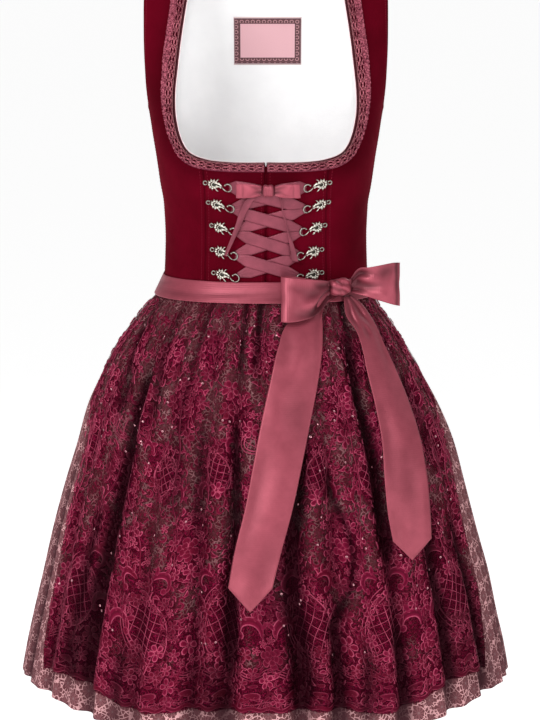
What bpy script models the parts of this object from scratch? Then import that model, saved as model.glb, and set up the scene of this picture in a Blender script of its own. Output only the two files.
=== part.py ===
"""Laced velvet dirndl with a gathered skirt, a lace apron and a satin ribbon bow.

The garment keeps the hollow shape that it has when it is worn. The origin lies
midway between the shoulder seams. -X is the wearer's right hand, +X the left,
-Y the front and +Z up. Sizes are in metres and angles in degrees, with 0 at the
front, 90 at the wearer's left and 180 at the back.
"""
import math
from collections import namedtuple

import bpy
import bmesh
from mathutils import Matrix, Vector
from mathutils.bvhtree import BVHTree

MM = 0.001
RIGHT, LEFT = -1, 1
SIDE_NAMES = {RIGHT: "right", LEFT: "left"}

SEAM_GAP = 0.3 * MM
VELVET = 1.5 * MM
LINING = 1.0 * MM
SKIRT_CLOTH = 1.2 * MM
LACE = 1.0 * MM
SATIN = 1.0 * MM
ROUNDNESS = 2.3          # exponent of the bodice sections: 2 is an ellipse
SKIRT_ROUNDNESS = 2.0
WAIST, FOLD_TOP, FOLD_MID, HEM = -0.386, -0.402, -0.560, -0.853
ROUNDNESS_FALL = 0.114   # height over which the skirt loses the bodice's squareness
SIDE_SEAM = 1.0          # a width past any section: the row ends at the side seam

# Bodice sections, from the shoulder down.
Body = namedtuple("Body", "z half front back")
BODY = [
    Body(0.000, 0.1600, 0.0000, 0.0000),
    Body(-0.006, 0.1600, 0.0130, 0.0130),
    Body(-0.020, 0.1580, 0.0260, 0.0280),
    Body(-0.050, 0.1560, 0.0440, 0.0520),
    Body(-0.100, 0.1490, 0.0720, 0.0780),
    Body(-0.140, 0.1420, 0.0910, 0.0870),
    Body(-0.165, 0.1375, 0.1010, 0.0900),
    Body(-0.187, 0.1323, 0.1080, 0.0910),
    Body(-0.220, 0.1272, 0.1130, 0.0900),
    Body(-0.240, 0.1240, 0.1130, 0.0885),
    Body(-0.2665, 0.1203, 0.1090, 0.0870),
    Body(-0.300, 0.1155, 0.1000, 0.0850),
    Body(-0.330, 0.1143, 0.0935, 0.0835),
    Body(-0.360, 0.1150, 0.0900, 0.0830),
    Body(WAIST, 0.1165, 0.0885, 0.0830),
]

# Skirt sections over the fold crests, and the angle of the apron's side edge.
Skirt = namedtuple("Skirt", "z right left front back edge")
SKIRT = [
    Skirt(WAIST, 0.1165, 0.1165, 0.0885, 0.0830, 94.0),
    Skirt(-0.3965, 0.1235, 0.1215, 0.0970, 0.0900, 94.0),
    Skirt(-0.411, 0.1375, 0.1290, 0.1075, 0.1000, 94.0),
    Skirt(-0.430, 0.1520, 0.1430, 0.1200, 0.1120, 93.0),
    Skirt(-0.455, 0.1700, 0.1585, 0.1330, 0.1250, 92.0),
    Skirt(-0.485, 0.1860, 0.1765, 0.1450, 0.1370, 87.0),
    Skirt(-0.525, 0.2050, 0.1990, 0.1575, 0.1500, 78.0),
    Skirt(-0.570, 0.2178, 0.2180, 0.1700, 0.1640, 72.0),
    Skirt(-0.616, 0.2322, 0.2306, 0.1810, 0.1760, 69.0),
    Skirt(-0.670, 0.2470, 0.2450, 0.1920, 0.1880, 67.5),
    Skirt(-0.725, 0.2598, 0.2605, 0.2040, 0.2000, 66.7),
    Skirt(-0.770, 0.2708, 0.2700, 0.2120, 0.2090, 65.5),
    Skirt(-0.810, 0.2797, 0.2795, 0.2190, 0.2160, 64.0),
    Skirt(-0.853, 0.2875, 0.2870, 0.2250, 0.2230, 63.0),
]

# Heights of the two hems, by the angle from the centre front.
Hems = namedtuple("Hems", "angle skirt apron")
HEMS = [
    Hems(0, HEM, -0.828), Hems(17, HEM, -0.829), Hems(28, HEM, -0.836), Hems(35, HEM, -0.831),
    Hems(41, -0.852, -0.8205), Hems(47, -0.848, -0.8145), Hems(54, -0.843, -0.811),
    Hems(66, -0.838, -0.813), Hems(80, -0.838, -0.813), Hems(130, -0.843, -0.813),
    Hems(180, -0.845, -0.813),
]

# Valleys between the gathers: angle, and depth in millimetres below the waist, at
# the height of the bow's ends and at the hem.
Fold = namedtuple("Fold", "angle top mid hem")
FRONT_FOLDS = [
    Fold(-84.0, 3.0, 2, 3), Fold(-76.5, 3.0, 5, 10), Fold(-69.0, 3.4, 2, 2),
    Fold(-61.5, 4.0, 6, 14), Fold(-53.0, 3.0, 3, 4), Fold(-45.0, 4.2, 13, 17),
    Fold(-37.5, 3.0, 2, 2), Fold(-31.0, 3.6, 4, 12), Fold(-24.0, 3.0, 2, 2),
    Fold(-17.0, 4.2, 6, 16), Fold(-8.5, 3.6, 8, 18), Fold(-0.5, 3.0, 2, 3),
    Fold(8.0, 4.2, 9, 19), Fold(17.5, 3.2, 7, 16), Fold(25.5, 3.0, 2, 2),
    Fold(33.5, 5.0, 15, 12), Fold(40.5, 3.0, 2, 2), Fold(47.5, 3.6, 4, 15),
    Fold(55.0, 3.0, 2, 3), Fold(62.0, 3.8, 6, 14), Fold(69.0, 3.2, 2, 2),
    Fold(76.5, 4.0, 5, 10), Fold(84.0, 3.0, 2, 3),
]
BACK_GATHERS = 24
DEEP_FOLD = 12           # depth at the hem, in millimetres, from which a fold's slopes show

# Front panels: x and z at the inner edge, the princess seam and the outer edge.
Centre = namedtuple("Centre", "mid_x mid_z seam_x seam_z")
FRONT_CENTRE = [
    Centre(0, WAIST, 0.0680, WAIST),
    Centre(0, -0.362, 0.0678, -0.362),
    Centre(0, -0.335, 0.0672, -0.335),
    Centre(0, -0.310, 0.0670, -0.310),
    Centre(0, -0.285, 0.0672, -0.284),
    Centre(0, -0.262, 0.0680, -0.258),
    Centre(0, -0.2405, 0.0715, -0.2368),
]
Panel = namedtuple("Panel", "in_x in_z out_x out_z")
FRONT_SIDE = [
    Panel(0.0680, WAIST, SIDE_SEAM, WAIST),
    Panel(0.0678, -0.362, SIDE_SEAM, -0.362),
    Panel(0.0672, -0.335, SIDE_SEAM, -0.335),
    Panel(0.0670, -0.310, SIDE_SEAM, -0.310),
    Panel(0.0672, -0.284, SIDE_SEAM, -0.284),
    Panel(0.0680, -0.258, SIDE_SEAM, -0.250),
    Panel(0.0715, -0.2368, SIDE_SEAM, -0.226),
    Panel(0.0830, -0.2330, SIDE_SEAM, -0.212),
    Panel(0.0920, -0.2225, SIDE_SEAM, -0.199),
    Panel(0.0980, -0.2075, SIDE_SEAM, -0.187),
    Panel(0.1015, -0.1900, 0.1330, -0.178),
    Panel(0.1020, -0.1680, 0.1354, -0.150),
    Panel(0.0998, -0.1450, 0.1362, -0.130),
    Panel(0.0965, -0.1180, 0.1367, -0.108),
    Panel(0.0925, -0.0900, 0.1367, -0.084),
    Panel(0.0882, -0.0620, 0.1364, -0.060),
    Panel(0.0825, -0.0320, 0.1350, -0.036),
    Panel(0.0780, -0.0110, 0.1325, -0.014),
    Panel(0.0760, 0.0000, 0.1310, 0.000),
]
Back = namedtuple("Back", "mid_x mid_z seam_x seam_z out_x out_z")
BACK = [
    Back(0, WAIST, 0.0450, WAIST, SIDE_SEAM, WAIST),
    Back(0, -0.345, 0.0440, -0.345, SIDE_SEAM, -0.345),
    Back(0, -0.300, 0.0450, -0.300, SIDE_SEAM, -0.300),
    Back(0, -0.255, 0.0505, -0.254, SIDE_SEAM, -0.245),
    Back(0, -0.205, 0.0595, -0.203, SIDE_SEAM, -0.187),
    Back(0, -0.180, 0.0645, -0.177, 0.1320, -0.176),
    Back(0, -0.155, 0.0700, -0.150, 0.1300, -0.150),
    Back(0, -0.100, 0.0805, -0.098, 0.1277, -0.112),
    Back(0, -0.0520, 0.0900, -0.060, 0.1272, -0.077),
    Back(0.0200, -0.0512, 0.0922, -0.050, 0.1276, -0.062),
    Back(0.0400, -0.0475, 0.0950, -0.040, 0.1282, -0.046),
    Back(0.0620, -0.0360, 0.0993, -0.022, 0.1298, -0.024),
    Back(0.0740, -0.0170, 0.1022, -0.008, 0.1308, -0.009),
    Back(0.0760, 0.0000, 0.1035, 0.000, 0.1310, 0.000),
]
BACK_NECK = next(i for i, row in enumerate(BACK) if row.mid_x > 0) - 1
FRONT_CENTRE_COLUMNS, FRONT_SIDE_COLUMNS = 4, 5
BACK_CENTRE_COLUMNS, BACK_SIDE_COLUMNS = 3, 4
NECK_BOW = 3             # how late the front neckline rises towards its corner
SHOULDER_DROP, SHOULDER_START, SHOULDER_END = 12 * MM, 0.078, 0.131
CUP_RISE, CUP_X, CUP_Z, CUP_WIDTH, CUP_HEIGHT = 10 * MM, 0.075, -0.236, 0.032, 0.040

# The neckline edge is eased back towards the wearer, mostly below the straps.
ROLL_DEPTH, ROLL_WIDTH, ROLL_TOP, ROLL_FULL = 14 * MM, 0.030, -0.100, -0.175

collection = bpy.data.collections.new("dirndl")
Point = namedtuple("Point", "key place normal")


def material(name, colour, roughness, metallic=0.0):
    look = bpy.data.materials.new(name)
    look.use_nodes = True
    shader = look.node_tree.nodes["Principled BSDF"]
    shader.inputs["Base Color"].default_value = (*colour, 1.0)
    shader.inputs["Roughness"].default_value = roughness
    shader.inputs["Metallic"].default_value = metallic
    return look


def add_mesh(name, points, faces, look):
    mesh = bpy.data.meshes.new(name)
    mesh.from_pydata(points, [], faces)
    mesh.materials.append(look)
    mesh.shade_smooth()
    mesh.set_sharp_from_angle(angle=math.radians(40))
    piece = bpy.data.objects.new(name, mesh)
    collection.objects.link(piece)
    return piece


def read(rows, z, column):
    """Value of a table's column at height z, on a smooth curve through the rows."""
    heights = [row.z for row in rows]
    values = [getattr(row, column) for row in rows]
    steps = [(b - a) / (d - c) for a, b, c, d in
             zip(values, values[1:], heights, heights[1:])]
    slopes = [steps[0]]
    for before, after in zip(steps, steps[1:]):
        both = before * after
        slopes.append(2 * both / (before + after) if both > 0 else 0.0)
    slopes.append(steps[-1])
    z = min(max(z, heights[-1]), heights[0])
    i = next(k for k in range(len(steps)) if z >= heights[k + 1])
    span = heights[i + 1] - heights[i]
    t = (z - heights[i]) / span
    return (values[i] * (1 + 2 * t) * (1 - t) ** 2 + values[i + 1] * t * t * (3 - 2 * t)
            + span * slopes[i] * t * (1 - t) ** 2 - span * slopes[i + 1] * t * t * (1 - t))


def section(angle, widths, depths, roundness):
    """x and y on a rounded section, for half-widths (right, left) and depths (front, back)."""
    across, along = math.sin(math.radians(angle)), math.cos(math.radians(angle))
    width = widths[1] if across > 0 else widths[0]
    depth = depths[0] if along > 0 else depths[1]
    power = 2 / roundness
    return (math.copysign(abs(across) ** power * width, across),
            -math.copysign(abs(along) ** power * depth, along))


def neckline_distance(x, z):
    """Distance from the front neckline, seen from the front."""
    edge = [(row.in_x, row.in_z) for row in FRONT_SIDE[6:]]
    edge = [(0.0, FRONT_CENTRE[-1].mid_z), (0.055, -0.2390)] + edge
    best = 1.0
    for (ax, az), (bx, bz) in zip(edge, edge[1:]):
        dx, dz = bx - ax, bz - az
        t = ((x - ax) * dx + (z - az) * dz) / (dx * dx + dz * dz)
        t = min(max(t, 0.0), 1.0)
        best = min(best, math.hypot(x - ax - t * dx, z - az - t * dz))
    return best


def body(angle, z):
    """Outer face of the bodice."""
    half = read(BODY, z, "half")
    depths = read(BODY, z, "front"), read(BODY, z, "back")
    x, y = section(angle, (half, half), depths, ROUNDNESS)
    if math.cos(math.radians(angle)) > 0:
        y -= CUP_RISE * math.exp(-((abs(x) - CUP_X) / CUP_WIDTH) ** 2
                                 - ((z - CUP_Z) / CUP_HEIGHT) ** 2)
        near = max(0.0, 1 - neckline_distance(abs(x), z) / ROLL_WIDTH)
        share = min(max((ROLL_TOP - z) / (ROLL_TOP - ROLL_FULL), 0.0), 1.0)
        y += ROLL_DEPTH * share * near ** 2
    outward = min(max((abs(x) - SHOULDER_START) / (SHOULDER_END - SHOULDER_START), 0.0), 1.0)
    upward = max(0.0, 1 + z / 0.05)
    return Vector((x, y, z - SHOULDER_DROP * outward * upward))


def fold_depth(angle, z):
    """Depth of the gathers under the crests, in metres."""
    for fold, after in zip(FOLDS, FOLDS[1:]):
        if angle <= after.angle:
            break
    crest = (fold.angle + after.angle) / 2
    if angle > crest:
        fold = after
    share = (1 + math.cos(math.pi * (angle - fold.angle) / (crest - fold.angle))) / 2
    if z > FOLD_TOP:
        depth = fold.top * (WAIST - z) / (WAIST - FOLD_TOP)
    elif z > FOLD_MID:
        depth = fold.top + (fold.mid - fold.top) * (FOLD_TOP - z) / (FOLD_TOP - FOLD_MID)
    else:
        depth = fold.mid + (fold.hem - fold.mid) * (FOLD_MID - z) / (FOLD_MID - HEM)
    return max(depth, 0.0) * share * MM


def skirt_roundness(z):
    share = min(max((WAIST - z) / ROUNDNESS_FALL, 0.0), 1.0)
    return ROUNDNESS + (SKIRT_ROUNDNESS - ROUNDNESS) * share


def skirt(angle, z, out=0.0):
    """Outer face of the gathered skirt, or a layer that lies out from it."""
    widths = read(SKIRT, z, "right") + out, read(SKIRT, z, "left") + out
    depths = read(SKIRT, z, "front") + out, read(SKIRT, z, "back") + out
    x, y = section(angle, widths, depths, skirt_roundness(z))
    outward = Vector((x / widths[0] ** 2, y / depths[0] ** 2)).normalized()
    depth = fold_depth(angle if angle > FOLDS[0].angle else angle + 360, z)
    return Vector((x - outward.x * depth, y - outward.y * depth, z))


def hem(angle, column):
    """Height of a hem at an angle."""
    turn = abs((angle + 180) % 360 - 180)
    for before, after in zip(HEMS, HEMS[1:]):
        if turn <= after.angle:
            break
    t = (turn - before.angle) / (after.angle - before.angle)
    return getattr(before, column) + (getattr(after, column) - getattr(before, column)) * t


def angle_at(x, z, rows, column, roundness, back=False):
    """Angle on a section where its width is x."""
    share = min(abs(x) / read(rows, z, column), 1.0)
    angle = math.degrees(math.asin(share ** (roundness / 2)))
    return math.copysign(180 - angle if back else angle, x)


def on_surface(surface, angle, z, key, out=0.0):
    """A wall point at an angle and height, with the surface's own outward normal."""
    step_angle, step_z = 0.4, 0.8 * MM
    place = surface(angle, z)
    if z > -step_z and surface is body:
        normal = Vector((0, 0, 1))
        place.y = math.copysign(SEAM_GAP / 2, -math.cos(math.radians(angle)))
    else:
        around = surface(angle + step_angle, z) - surface(angle - step_angle, z)
        up = surface(angle, z + step_z) - surface(angle, z - step_z)
        normal = around.cross(up).normalized()
    return Point(key, place + normal * out, normal)


def band(lower, upper):
    """Triangles between two rows of points, matched by their keys."""
    faces, i, j = [], 0, 0
    while i < len(lower) - 1 or j < len(upper) - 1:
        next_lower = lower[i + 1][0].key if i < len(lower) - 1 else math.inf
        next_upper = upper[j + 1][0].key if j < len(upper) - 1 else math.inf
        if next_lower <= next_upper:
            faces.append((lower[i][1], lower[i + 1][1], upper[j][1]))
            i += 1
        else:
            faces.append((lower[i][1], upper[j + 1][1], upper[j][1]))
            j += 1
    return faces


def cloth(name, rows, thickness, look):
    """A closed wall of cloth: rows of points on its outer face, and the thickness within."""
    numbered, count = [], 0
    for row in rows:
        numbered.append([(point, count + i) for i, point in enumerate(row)])
        count += len(row)
    points = [point for row in rows for point in row]
    faces = [face for lower, upper in zip(numbered, numbered[1:]) for face in band(lower, upper)]
    facing = 0.0
    for a, b, c in faces:
        edge = points[b].place - points[a].place
        facing += edge.cross(points[c].place - points[a].place).dot(points[a].normal)
    if facing < 0:
        faces = [face[::-1] for face in faces]
    edges = {(face[i - 1], face[i]) for face in faces for i in range(3)}
    rim = [(b, a, a + count, b + count) for a, b in sorted(edges) if (b, a) not in edges]
    inner = [(c + count, b + count, a + count) for a, b, c in faces]
    places = [point.place for point in points]
    places += [point.place - point.normal * thickness for point in points]
    return add_mesh(name, places, faces + inner + rim, look)


def ease(row, first=True, last=True):
    """Moves a row's ends half a seam gap inwards."""
    row = list(row)
    for use, end, inside in ((first, 0, 1), (last, -1, -2)):
        if use:
            inwards = (row[inside].place - row[end].place).normalized() * SEAM_GAP / 2
            row[end] = row[end]._replace(place=row[end].place + inwards)
    return row


def bodice_row(side, start, end, columns, back=False, bow=1, out=0.0):
    """Points of one panel row, between two (x, z) ends."""
    angles = [angle_at(x, z, BODY, "half", ROUNDNESS, back) for x, z in (start, end)]
    row = []
    for i in range(columns + 1):
        t = i / columns
        z = start[1] + (end[1] - start[1]) * t ** bow
        angle = angles[0] + (angles[1] - angles[0]) * t
        row.append(on_surface(body, side * angle, z, t, out))
    return row


def bodice_panel(name, side, rows, columns, back=False, bow=1):
    """A panel between two seams, its rows run from the wearer's left to the right."""
    walls = [ease(bodice_row(side, row[:2], row[2:4], columns, back, bow)) for row in rows]
    if side == LEFT:
        walls = [[point._replace(key=-point.key) for point in wall[::-1]] for wall in walls]
    cloth(name, walls, VELVET, velvet)


def strip(name, rows, thickness, look):
    """A ribbon through rows of (left edge, right edge) places, facing outwards."""
    walls = []
    for i, (a, b) in enumerate(rows):
        before, after = rows[max(i - 1, 0)], rows[min(i + 1, len(rows) - 1)]
        along = (after[0] + after[1]) - (before[0] + before[1])
        normal = (b - a).cross(along).normalized()
        walls.append([Point(0, a, normal), Point(0.5, (a + b) / 2, normal), Point(1, b, normal)])
    return cloth(name, walls, thickness, look)


velvet = material("burgundy velvet", (0.135, 0.004, 0.022), 0.85)
lining_cotton = material("white lining", (0.80, 0.80, 0.80), 0.80)
label_cloth = material("rose label", (0.62, 0.30, 0.35), 0.70)
braid = material("dusty rose braid", (0.34, 0.09, 0.13), 0.75)
cord_edge = material("dark red piping", (0.10, 0.005, 0.015), 0.60)
silver = material("antique silver", (0.55, 0.53, 0.48), 0.35, 1.0)
satin = material("dusty rose satin", (0.45, 0.09, 0.13), 0.35)
lace = material("raspberry lace", (0.19, 0.012, 0.050), 0.65)
print_cotton = material("mauve print cotton", (0.26, 0.13, 0.14), 0.80)


def back_folds():
    """Gathers of the hidden back, as uneven as those of the front."""
    folds = []
    for i in range(BACK_GATHERS):
        angle = 94 + i * 172 / (BACK_GATHERS - 1) + 1.2 * math.sin(2.6 * i)
        deep = 1.0 if i % 2 else 0.12
        hem = 2 + deep * (13 + 5 * math.sin(1.9 * i))
        mid = 2 + deep * (6 + 4 * math.sin(2.7 * i + 1))
        folds.append(Fold(angle, 3.4 + 0.7 * math.sin(3.1 * i), mid, hem))
    return folds


FOLDS = FRONT_FOLDS + back_folds()
FOLDS.append(FOLDS[0]._replace(angle=FOLDS[0].angle + 360))


def fold_columns(low, high):
    """Angles of the valleys and crests between two seams, with the slopes of deep folds."""
    columns = [low]
    for fold, after in zip(FOLDS, FOLDS[1:]):
        crest = (fold.angle + after.angle) / 2
        columns += [fold.angle, crest]
        if fold.hem >= DEEP_FOLD:
            columns.append((fold.angle + crest) / 2)
        if after.hem >= DEEP_FOLD:
            columns.append((after.angle + crest) / 2)
    inside = [angle for angle in columns if low + 1 < angle < high - 1]
    return sorted([low, high] + inside)


def bodice():
    """Front and back panels of velvet, each with its own seams."""
    for side, name in SIDE_NAMES.items():
        bodice_panel("bodice_front_centre_" + name, side, FRONT_CENTRE, FRONT_CENTRE_COLUMNS,
                     bow=NECK_BOW)
        bodice_panel("bodice_front_side_" + name, side, FRONT_SIDE, FRONT_SIDE_COLUMNS)
        centre = [row[:4] for row in BACK]
        outer = [row[2:] for row in BACK]
        bodice_panel("bodice_back_centre_" + name, side, centre, BACK_CENTRE_COLUMNS, back=True)
        bodice_panel("bodice_back_side_" + name, side, outer, BACK_SIDE_COLUMNS, back=True)


LINING_GAP = 1.2 * MM
LABEL_Z, LABEL_HEIGHT, LABEL_X, LABEL_WIDTH = -0.0874, 0.0530, 0.0018, 0.0790
LABEL_COLUMNS = 5
SEAT_REACH = 20 * MM


def lining_and_label():
    """White lining of the back, from the panels' own points, and the label sewn on it."""
    rows = []
    for row in BACK[:BACK_NECK + 1]:
        half = {}
        for side in SIDE_NAMES:
            inner = bodice_row(side, row[:2], row[2:4], BACK_CENTRE_COLUMNS, True,
                               out=-VELVET - LINING_GAP)
            outer = bodice_row(side, row[2:4], row[4:], BACK_SIDE_COLUMNS, True,
                               out=-VELVET - LINING_GAP)
            half[side] = inner + outer[1:]
        whole = half[LEFT][::-1] + half[RIGHT][1:]
        rows.append(ease([point._replace(key=i) for i, point in enumerate(whole)]))
    lining = cloth("lining_back", rows, LINING, lining_cotton)
    rows = []
    for down in (0, 0.5, 1):
        z = LABEL_Z - LABEL_HEIGHT * down
        row = []
        for k in range(LABEL_COLUMNS + 1):
            x = LABEL_X + LABEL_WIDTH * (k / LABEL_COLUMNS - 0.5)
            point = on_surface(body, angle_at(x, z, BODY, "half", ROUNDNESS, True), z, k)
            row.append(point._replace(normal=-point.normal))
        rows.append(seat(row, [lining], SEAM_GAP + LINING))
    cloth("label", rows, LINING, label_cloth)


def seat(points, bases, lift):
    """Lays points on the pieces behind them, lifted along their normals."""
    trees = [BVHTree.FromPolygons([v.co for v in base.data.vertices],
                                  [tuple(face.vertices) for face in base.data.polygons])
             for base in bases]
    seated = []
    for point in points:
        start = point.place + point.normal * SEAT_REACH
        hits = [tree.ray_cast(start, -point.normal, 2 * SEAT_REACH) for tree in trees]
        hits = [(hit[3], hit[0]) for hit in hits if hit[0]]
        place = min(hits)[1] + point.normal * lift if hits else point.place
        seated.append(point._replace(place=place))
    return seated


TRIM_START, TRIM_WIDTH, TRIM_LIFT = 0.8 * MM, 16.5 * MM, 0.5 * MM
TRIM_REPEAT, TRIM_LOW, TRIM_HIGH = 6.4 * MM, 1.0 * MM, 1.9 * MM
TRIM_COLUMNS, TRIM_CLEAR, TRIM_CENTRE_GAP = 6, 0.3 * MM, 1.6 * MM
PIPING_RADIUS, PIPING_GAP = 1.2 * MM, 0.4 * MM
UNDER_SHOULDER = -1.2 * MM

Edge = namedtuple("Edge", "x z turn back")


def front_edge():
    """Neckline points of the front: x, z and the direction into the panel, 0 down, 90 outwards."""
    top = FRONT_CENTRE[-1]
    rows = []
    for i in range(FRONT_CENTRE_COLUMNS + 1):
        t = i / FRONT_CENTRE_COLUMNS
        angle = t * angle_at(top.seam_x, top.seam_z, BODY, "half", ROUNDNESS)
        z = top.mid_z + (top.seam_z - top.mid_z) * t ** NECK_BOW
        x = read(BODY, z, "half") * math.sin(math.radians(angle)) ** (2 / ROUNDNESS)
        rows.append((x, z))
    rows += [(row.in_x, row.in_z) for row in FRONT_SIDE[7:]]
    return turned(rows, False)


def back_edge():
    rows = [(row.mid_x, row.mid_z) for row in BACK[BACK_NECK:]]
    return turned(rows, True)


def turned(rows, back):
    edges = []
    for i, (x, z) in enumerate(rows):
        before, after = rows[max(i - 1, 0)], rows[min(i + 1, len(rows) - 1)]
        turn = math.degrees(math.atan2(after[1] - before[1], after[0] - before[0]))
        edges.append(Edge(x, z, 0.0 if i == 0 else turn, back))
    return edges


def edge_point(edge, side, distance, out):
    """Place and normal on the panel at a distance from its neckline edge."""
    turn = math.radians(edge.turn)
    along = Vector((math.sin(turn), -math.cos(turn)))
    start = body(angle_at(edge.x, edge.z, BODY, "half", ROUNDNESS, edge.back) * side, edge.z)
    reach = distance
    for _ in range(3):
        x, z = edge.x + along.x * reach, min(edge.z + along.y * reach, UNDER_SHOULDER)
        angle = angle_at(x, z, BODY, "half", ROUNDNESS, edge.back) * side
        point = on_surface(body, angle, z, 0, out)
        reach *= distance / max((body(angle, z) - start).length, 0.1 * MM) if distance else 1
    return point


def trim(name, edges, side, bases):
    """Braid in two raised rows, seated on the panels along the neckline."""
    widths = [i / TRIM_COLUMNS for i in range(TRIM_COLUMNS + 1)]
    guides = []
    for edge in edges:
        guides.append([edge_point(edge, side, TRIM_START + TRIM_WIDTH * w, 0) for w in widths])
    lengths = [0.0]
    for a, b in zip(guides, guides[1:]):
        lengths.append(lengths[-1] + (b[3].place - a[3].place).length)
    steps = 2 * round(lengths[-1] / TRIM_REPEAT)
    points, rings = [], []
    for k in range(steps + 1):
        at = lengths[-1] * k / steps
        i = min(sum(1 for length in lengths[1:-1] if length <= at), len(guides) - 2)
        t = (at - lengths[i]) / (lengths[i + 1] - lengths[i])
        ring = []
        for a, b in zip(guides[i], guides[i + 1]):
            normal = a.normal.lerp(b.normal, t).normalized()
            ring.append(Point(0, a.place.lerp(b.place, t), normal))
        ring = seat(ring, bases, TRIM_LIFT)
        chord = ring[-1].place - ring[0].place
        raised = [(point.place - ring[0].place - chord * w).dot(point.normal)
                  for point, w in zip(ring, widths)]
        lift = max(raised) + TRIM_CLEAR
        crests = (TRIM_HIGH, TRIM_LOW) if k % 2 else (TRIM_LOW, TRIM_HIGH)
        rings.append(range(len(points), len(points) + 4))
        heights = zip((0, TRIM_COLUMNS, 4, 2), (0.0, 0.0, *crests))
        points += [ring[i].place + ring[i].normal * (lift + height) for i, height in heights]
    faces = [tuple(rings[0]), tuple(reversed(rings[-1]))]
    for a, b in zip(rings, rings[1:]):
        for i in range(4):
            faces.append((a[i], b[i], b[(i + 1) % 4], a[(i + 1) % 4]))
    piece = add_mesh(name, points, faces, braid)
    outward_faces(piece.data)


def outward_faces(mesh):
    shape = bmesh.new()
    shape.from_mesh(mesh)
    bmesh.ops.recalc_face_normals(shape, faces=shape.faces)
    shape.to_mesh(mesh)
    shape.free()


def piping(name, edges, side):
    """Thin covered cord along the neckline edge, as a tube of five sides."""
    route = []
    for edge in edges:
        start = edge_point(edge, side, 0.0, -VELVET / 2)
        inside = edge_point(edge, side, 2 * MM, -VELVET / 2)
        away = (start.place - inside.place).normalized()
        route.append(start.place + away * (PIPING_RADIUS + PIPING_GAP))
    if edges[0].x == 0:
        route[0].x = side * SEAM_GAP / 2
    curve = bpy.data.curves.new(name, "CURVE")
    curve.dimensions = "3D"
    curve.bevel_depth = PIPING_RADIUS
    curve.bevel_resolution = 0
    curve.use_fill_caps = True
    line = curve.splines.new("POLY")
    line.points.add(len(route) - 1)
    for point, place in zip(line.points, route):
        point.co = (*place, 1.0)
    as_mesh(bpy.data.objects.new(name, curve), cord_edge)


def as_mesh(curve_object, look):
    """Replaces a curve object by its closed mesh."""
    collection.objects.link(curve_object)
    bpy.context.view_layer.update()
    evaluated = curve_object.evaluated_get(bpy.context.evaluated_depsgraph_get())
    mesh = bpy.data.meshes.new_from_object(evaluated)
    shape = bmesh.new()
    shape.from_mesh(mesh)
    bmesh.ops.remove_doubles(shape, verts=shape.verts, dist=0.01 * MM)
    bmesh.ops.recalc_face_normals(shape, faces=shape.faces)
    shape.to_mesh(mesh)
    shape.free()
    mesh.materials.clear()
    mesh.materials.append(look)
    mesh.shade_smooth()
    mesh.set_sharp_from_angle(angle=math.radians(40))
    name = curve_object.name
    placed = curve_object.matrix_world.copy()
    bpy.data.objects.remove(curve_object, do_unlink=True)
    mesh.name = name
    piece = bpy.data.objects.new(name, mesh)
    piece.matrix_world = placed
    collection.objects.link(piece)
    return piece


def neck_edging():
    front, back = front_edge(), back_edge()
    for side, name in SIDE_NAMES.items():
        panels = [bpy.data.objects["bodice_front_centre_" + name],
                  bpy.data.objects["bodice_front_side_" + name]]
        trim("neck_trim_front_" + name, [front[0]._replace(x=TRIM_CENTRE_GAP)] + front[1:], side, panels)
        panels = [bpy.data.objects["bodice_back_centre_" + name]]
        trim("neck_trim_back_" + name, [back[0]._replace(x=SEAM_GAP)] + back[1:], side, panels)
        piping("neck_piping_front_" + name, front, side)
        piping("neck_piping_back_" + name, back, side)


# Hooks for the lacing: height, and distance of each rosette from the centre front.
Hook = namedtuple("Hook", "z right left tilt")
HOOKS = [
    Hook(-0.2636, 0.0575, 0.0613, 3.0),
    Hook(-0.2862, 0.0544, 0.0604, 3.0),
    Hook(-0.3125, 0.0511, 0.0566, 4.0),
    Hook(-0.3402, 0.0507, 0.0534, 6.0),
    Hook(-0.3660, 0.0492, 0.0535, 4.0),
]
HOOK_PLATE, HOOK_GAP = 1.5 * MM, 0.9 * MM
RING_AT, RING_HOLE = -9.0 * MM, 1.6 * MM
EYE_AT, EYE_HOLE, EYE_RADIUS = 16.5 * MM, 2.5 * MM, 4.3 * MM
# Half-height of the hook along its length: ring, rosette, neck and eye.
HOOK_OUTLINE = [(-12.3, 0.9), (-9.0, 3.3), (-6.2, 2.0), (-4.6, 4.2), (-1.0, 5.3), (3.2, 4.2),
                (6.0, 1.4), (11.8, 1.3), (14.2, 3.6), (17.4, 4.2), (20.6, 1.4)]


def hook_shape():
    curve = bpy.data.curves.new("hook", "CURVE")
    curve.dimensions = "2D"
    curve.fill_mode = "BOTH"
    curve.extrude = HOOK_PLATE / 2
    outline = [(x * MM, y * MM) for x, y in HOOK_OUTLINE]
    outline += [(x, -y) for x, y in reversed(outline)]
    rings = [outline]
    for centre, radius in ((RING_AT, RING_HOLE), (EYE_AT, EYE_HOLE)):
        turns = [math.radians(30 + 60 * i) for i in range(6)]
        rings.append([(centre + radius * math.cos(a), radius * math.sin(a)) for a in turns])
    for ring in rings:
        spline = curve.splines.new("POLY")
        spline.points.add(len(ring) - 1)
        spline.use_cyclic_u = True
        for point, place in zip(spline.points, ring):
            point.co = (*place, 0, 1)
    return curve


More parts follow.
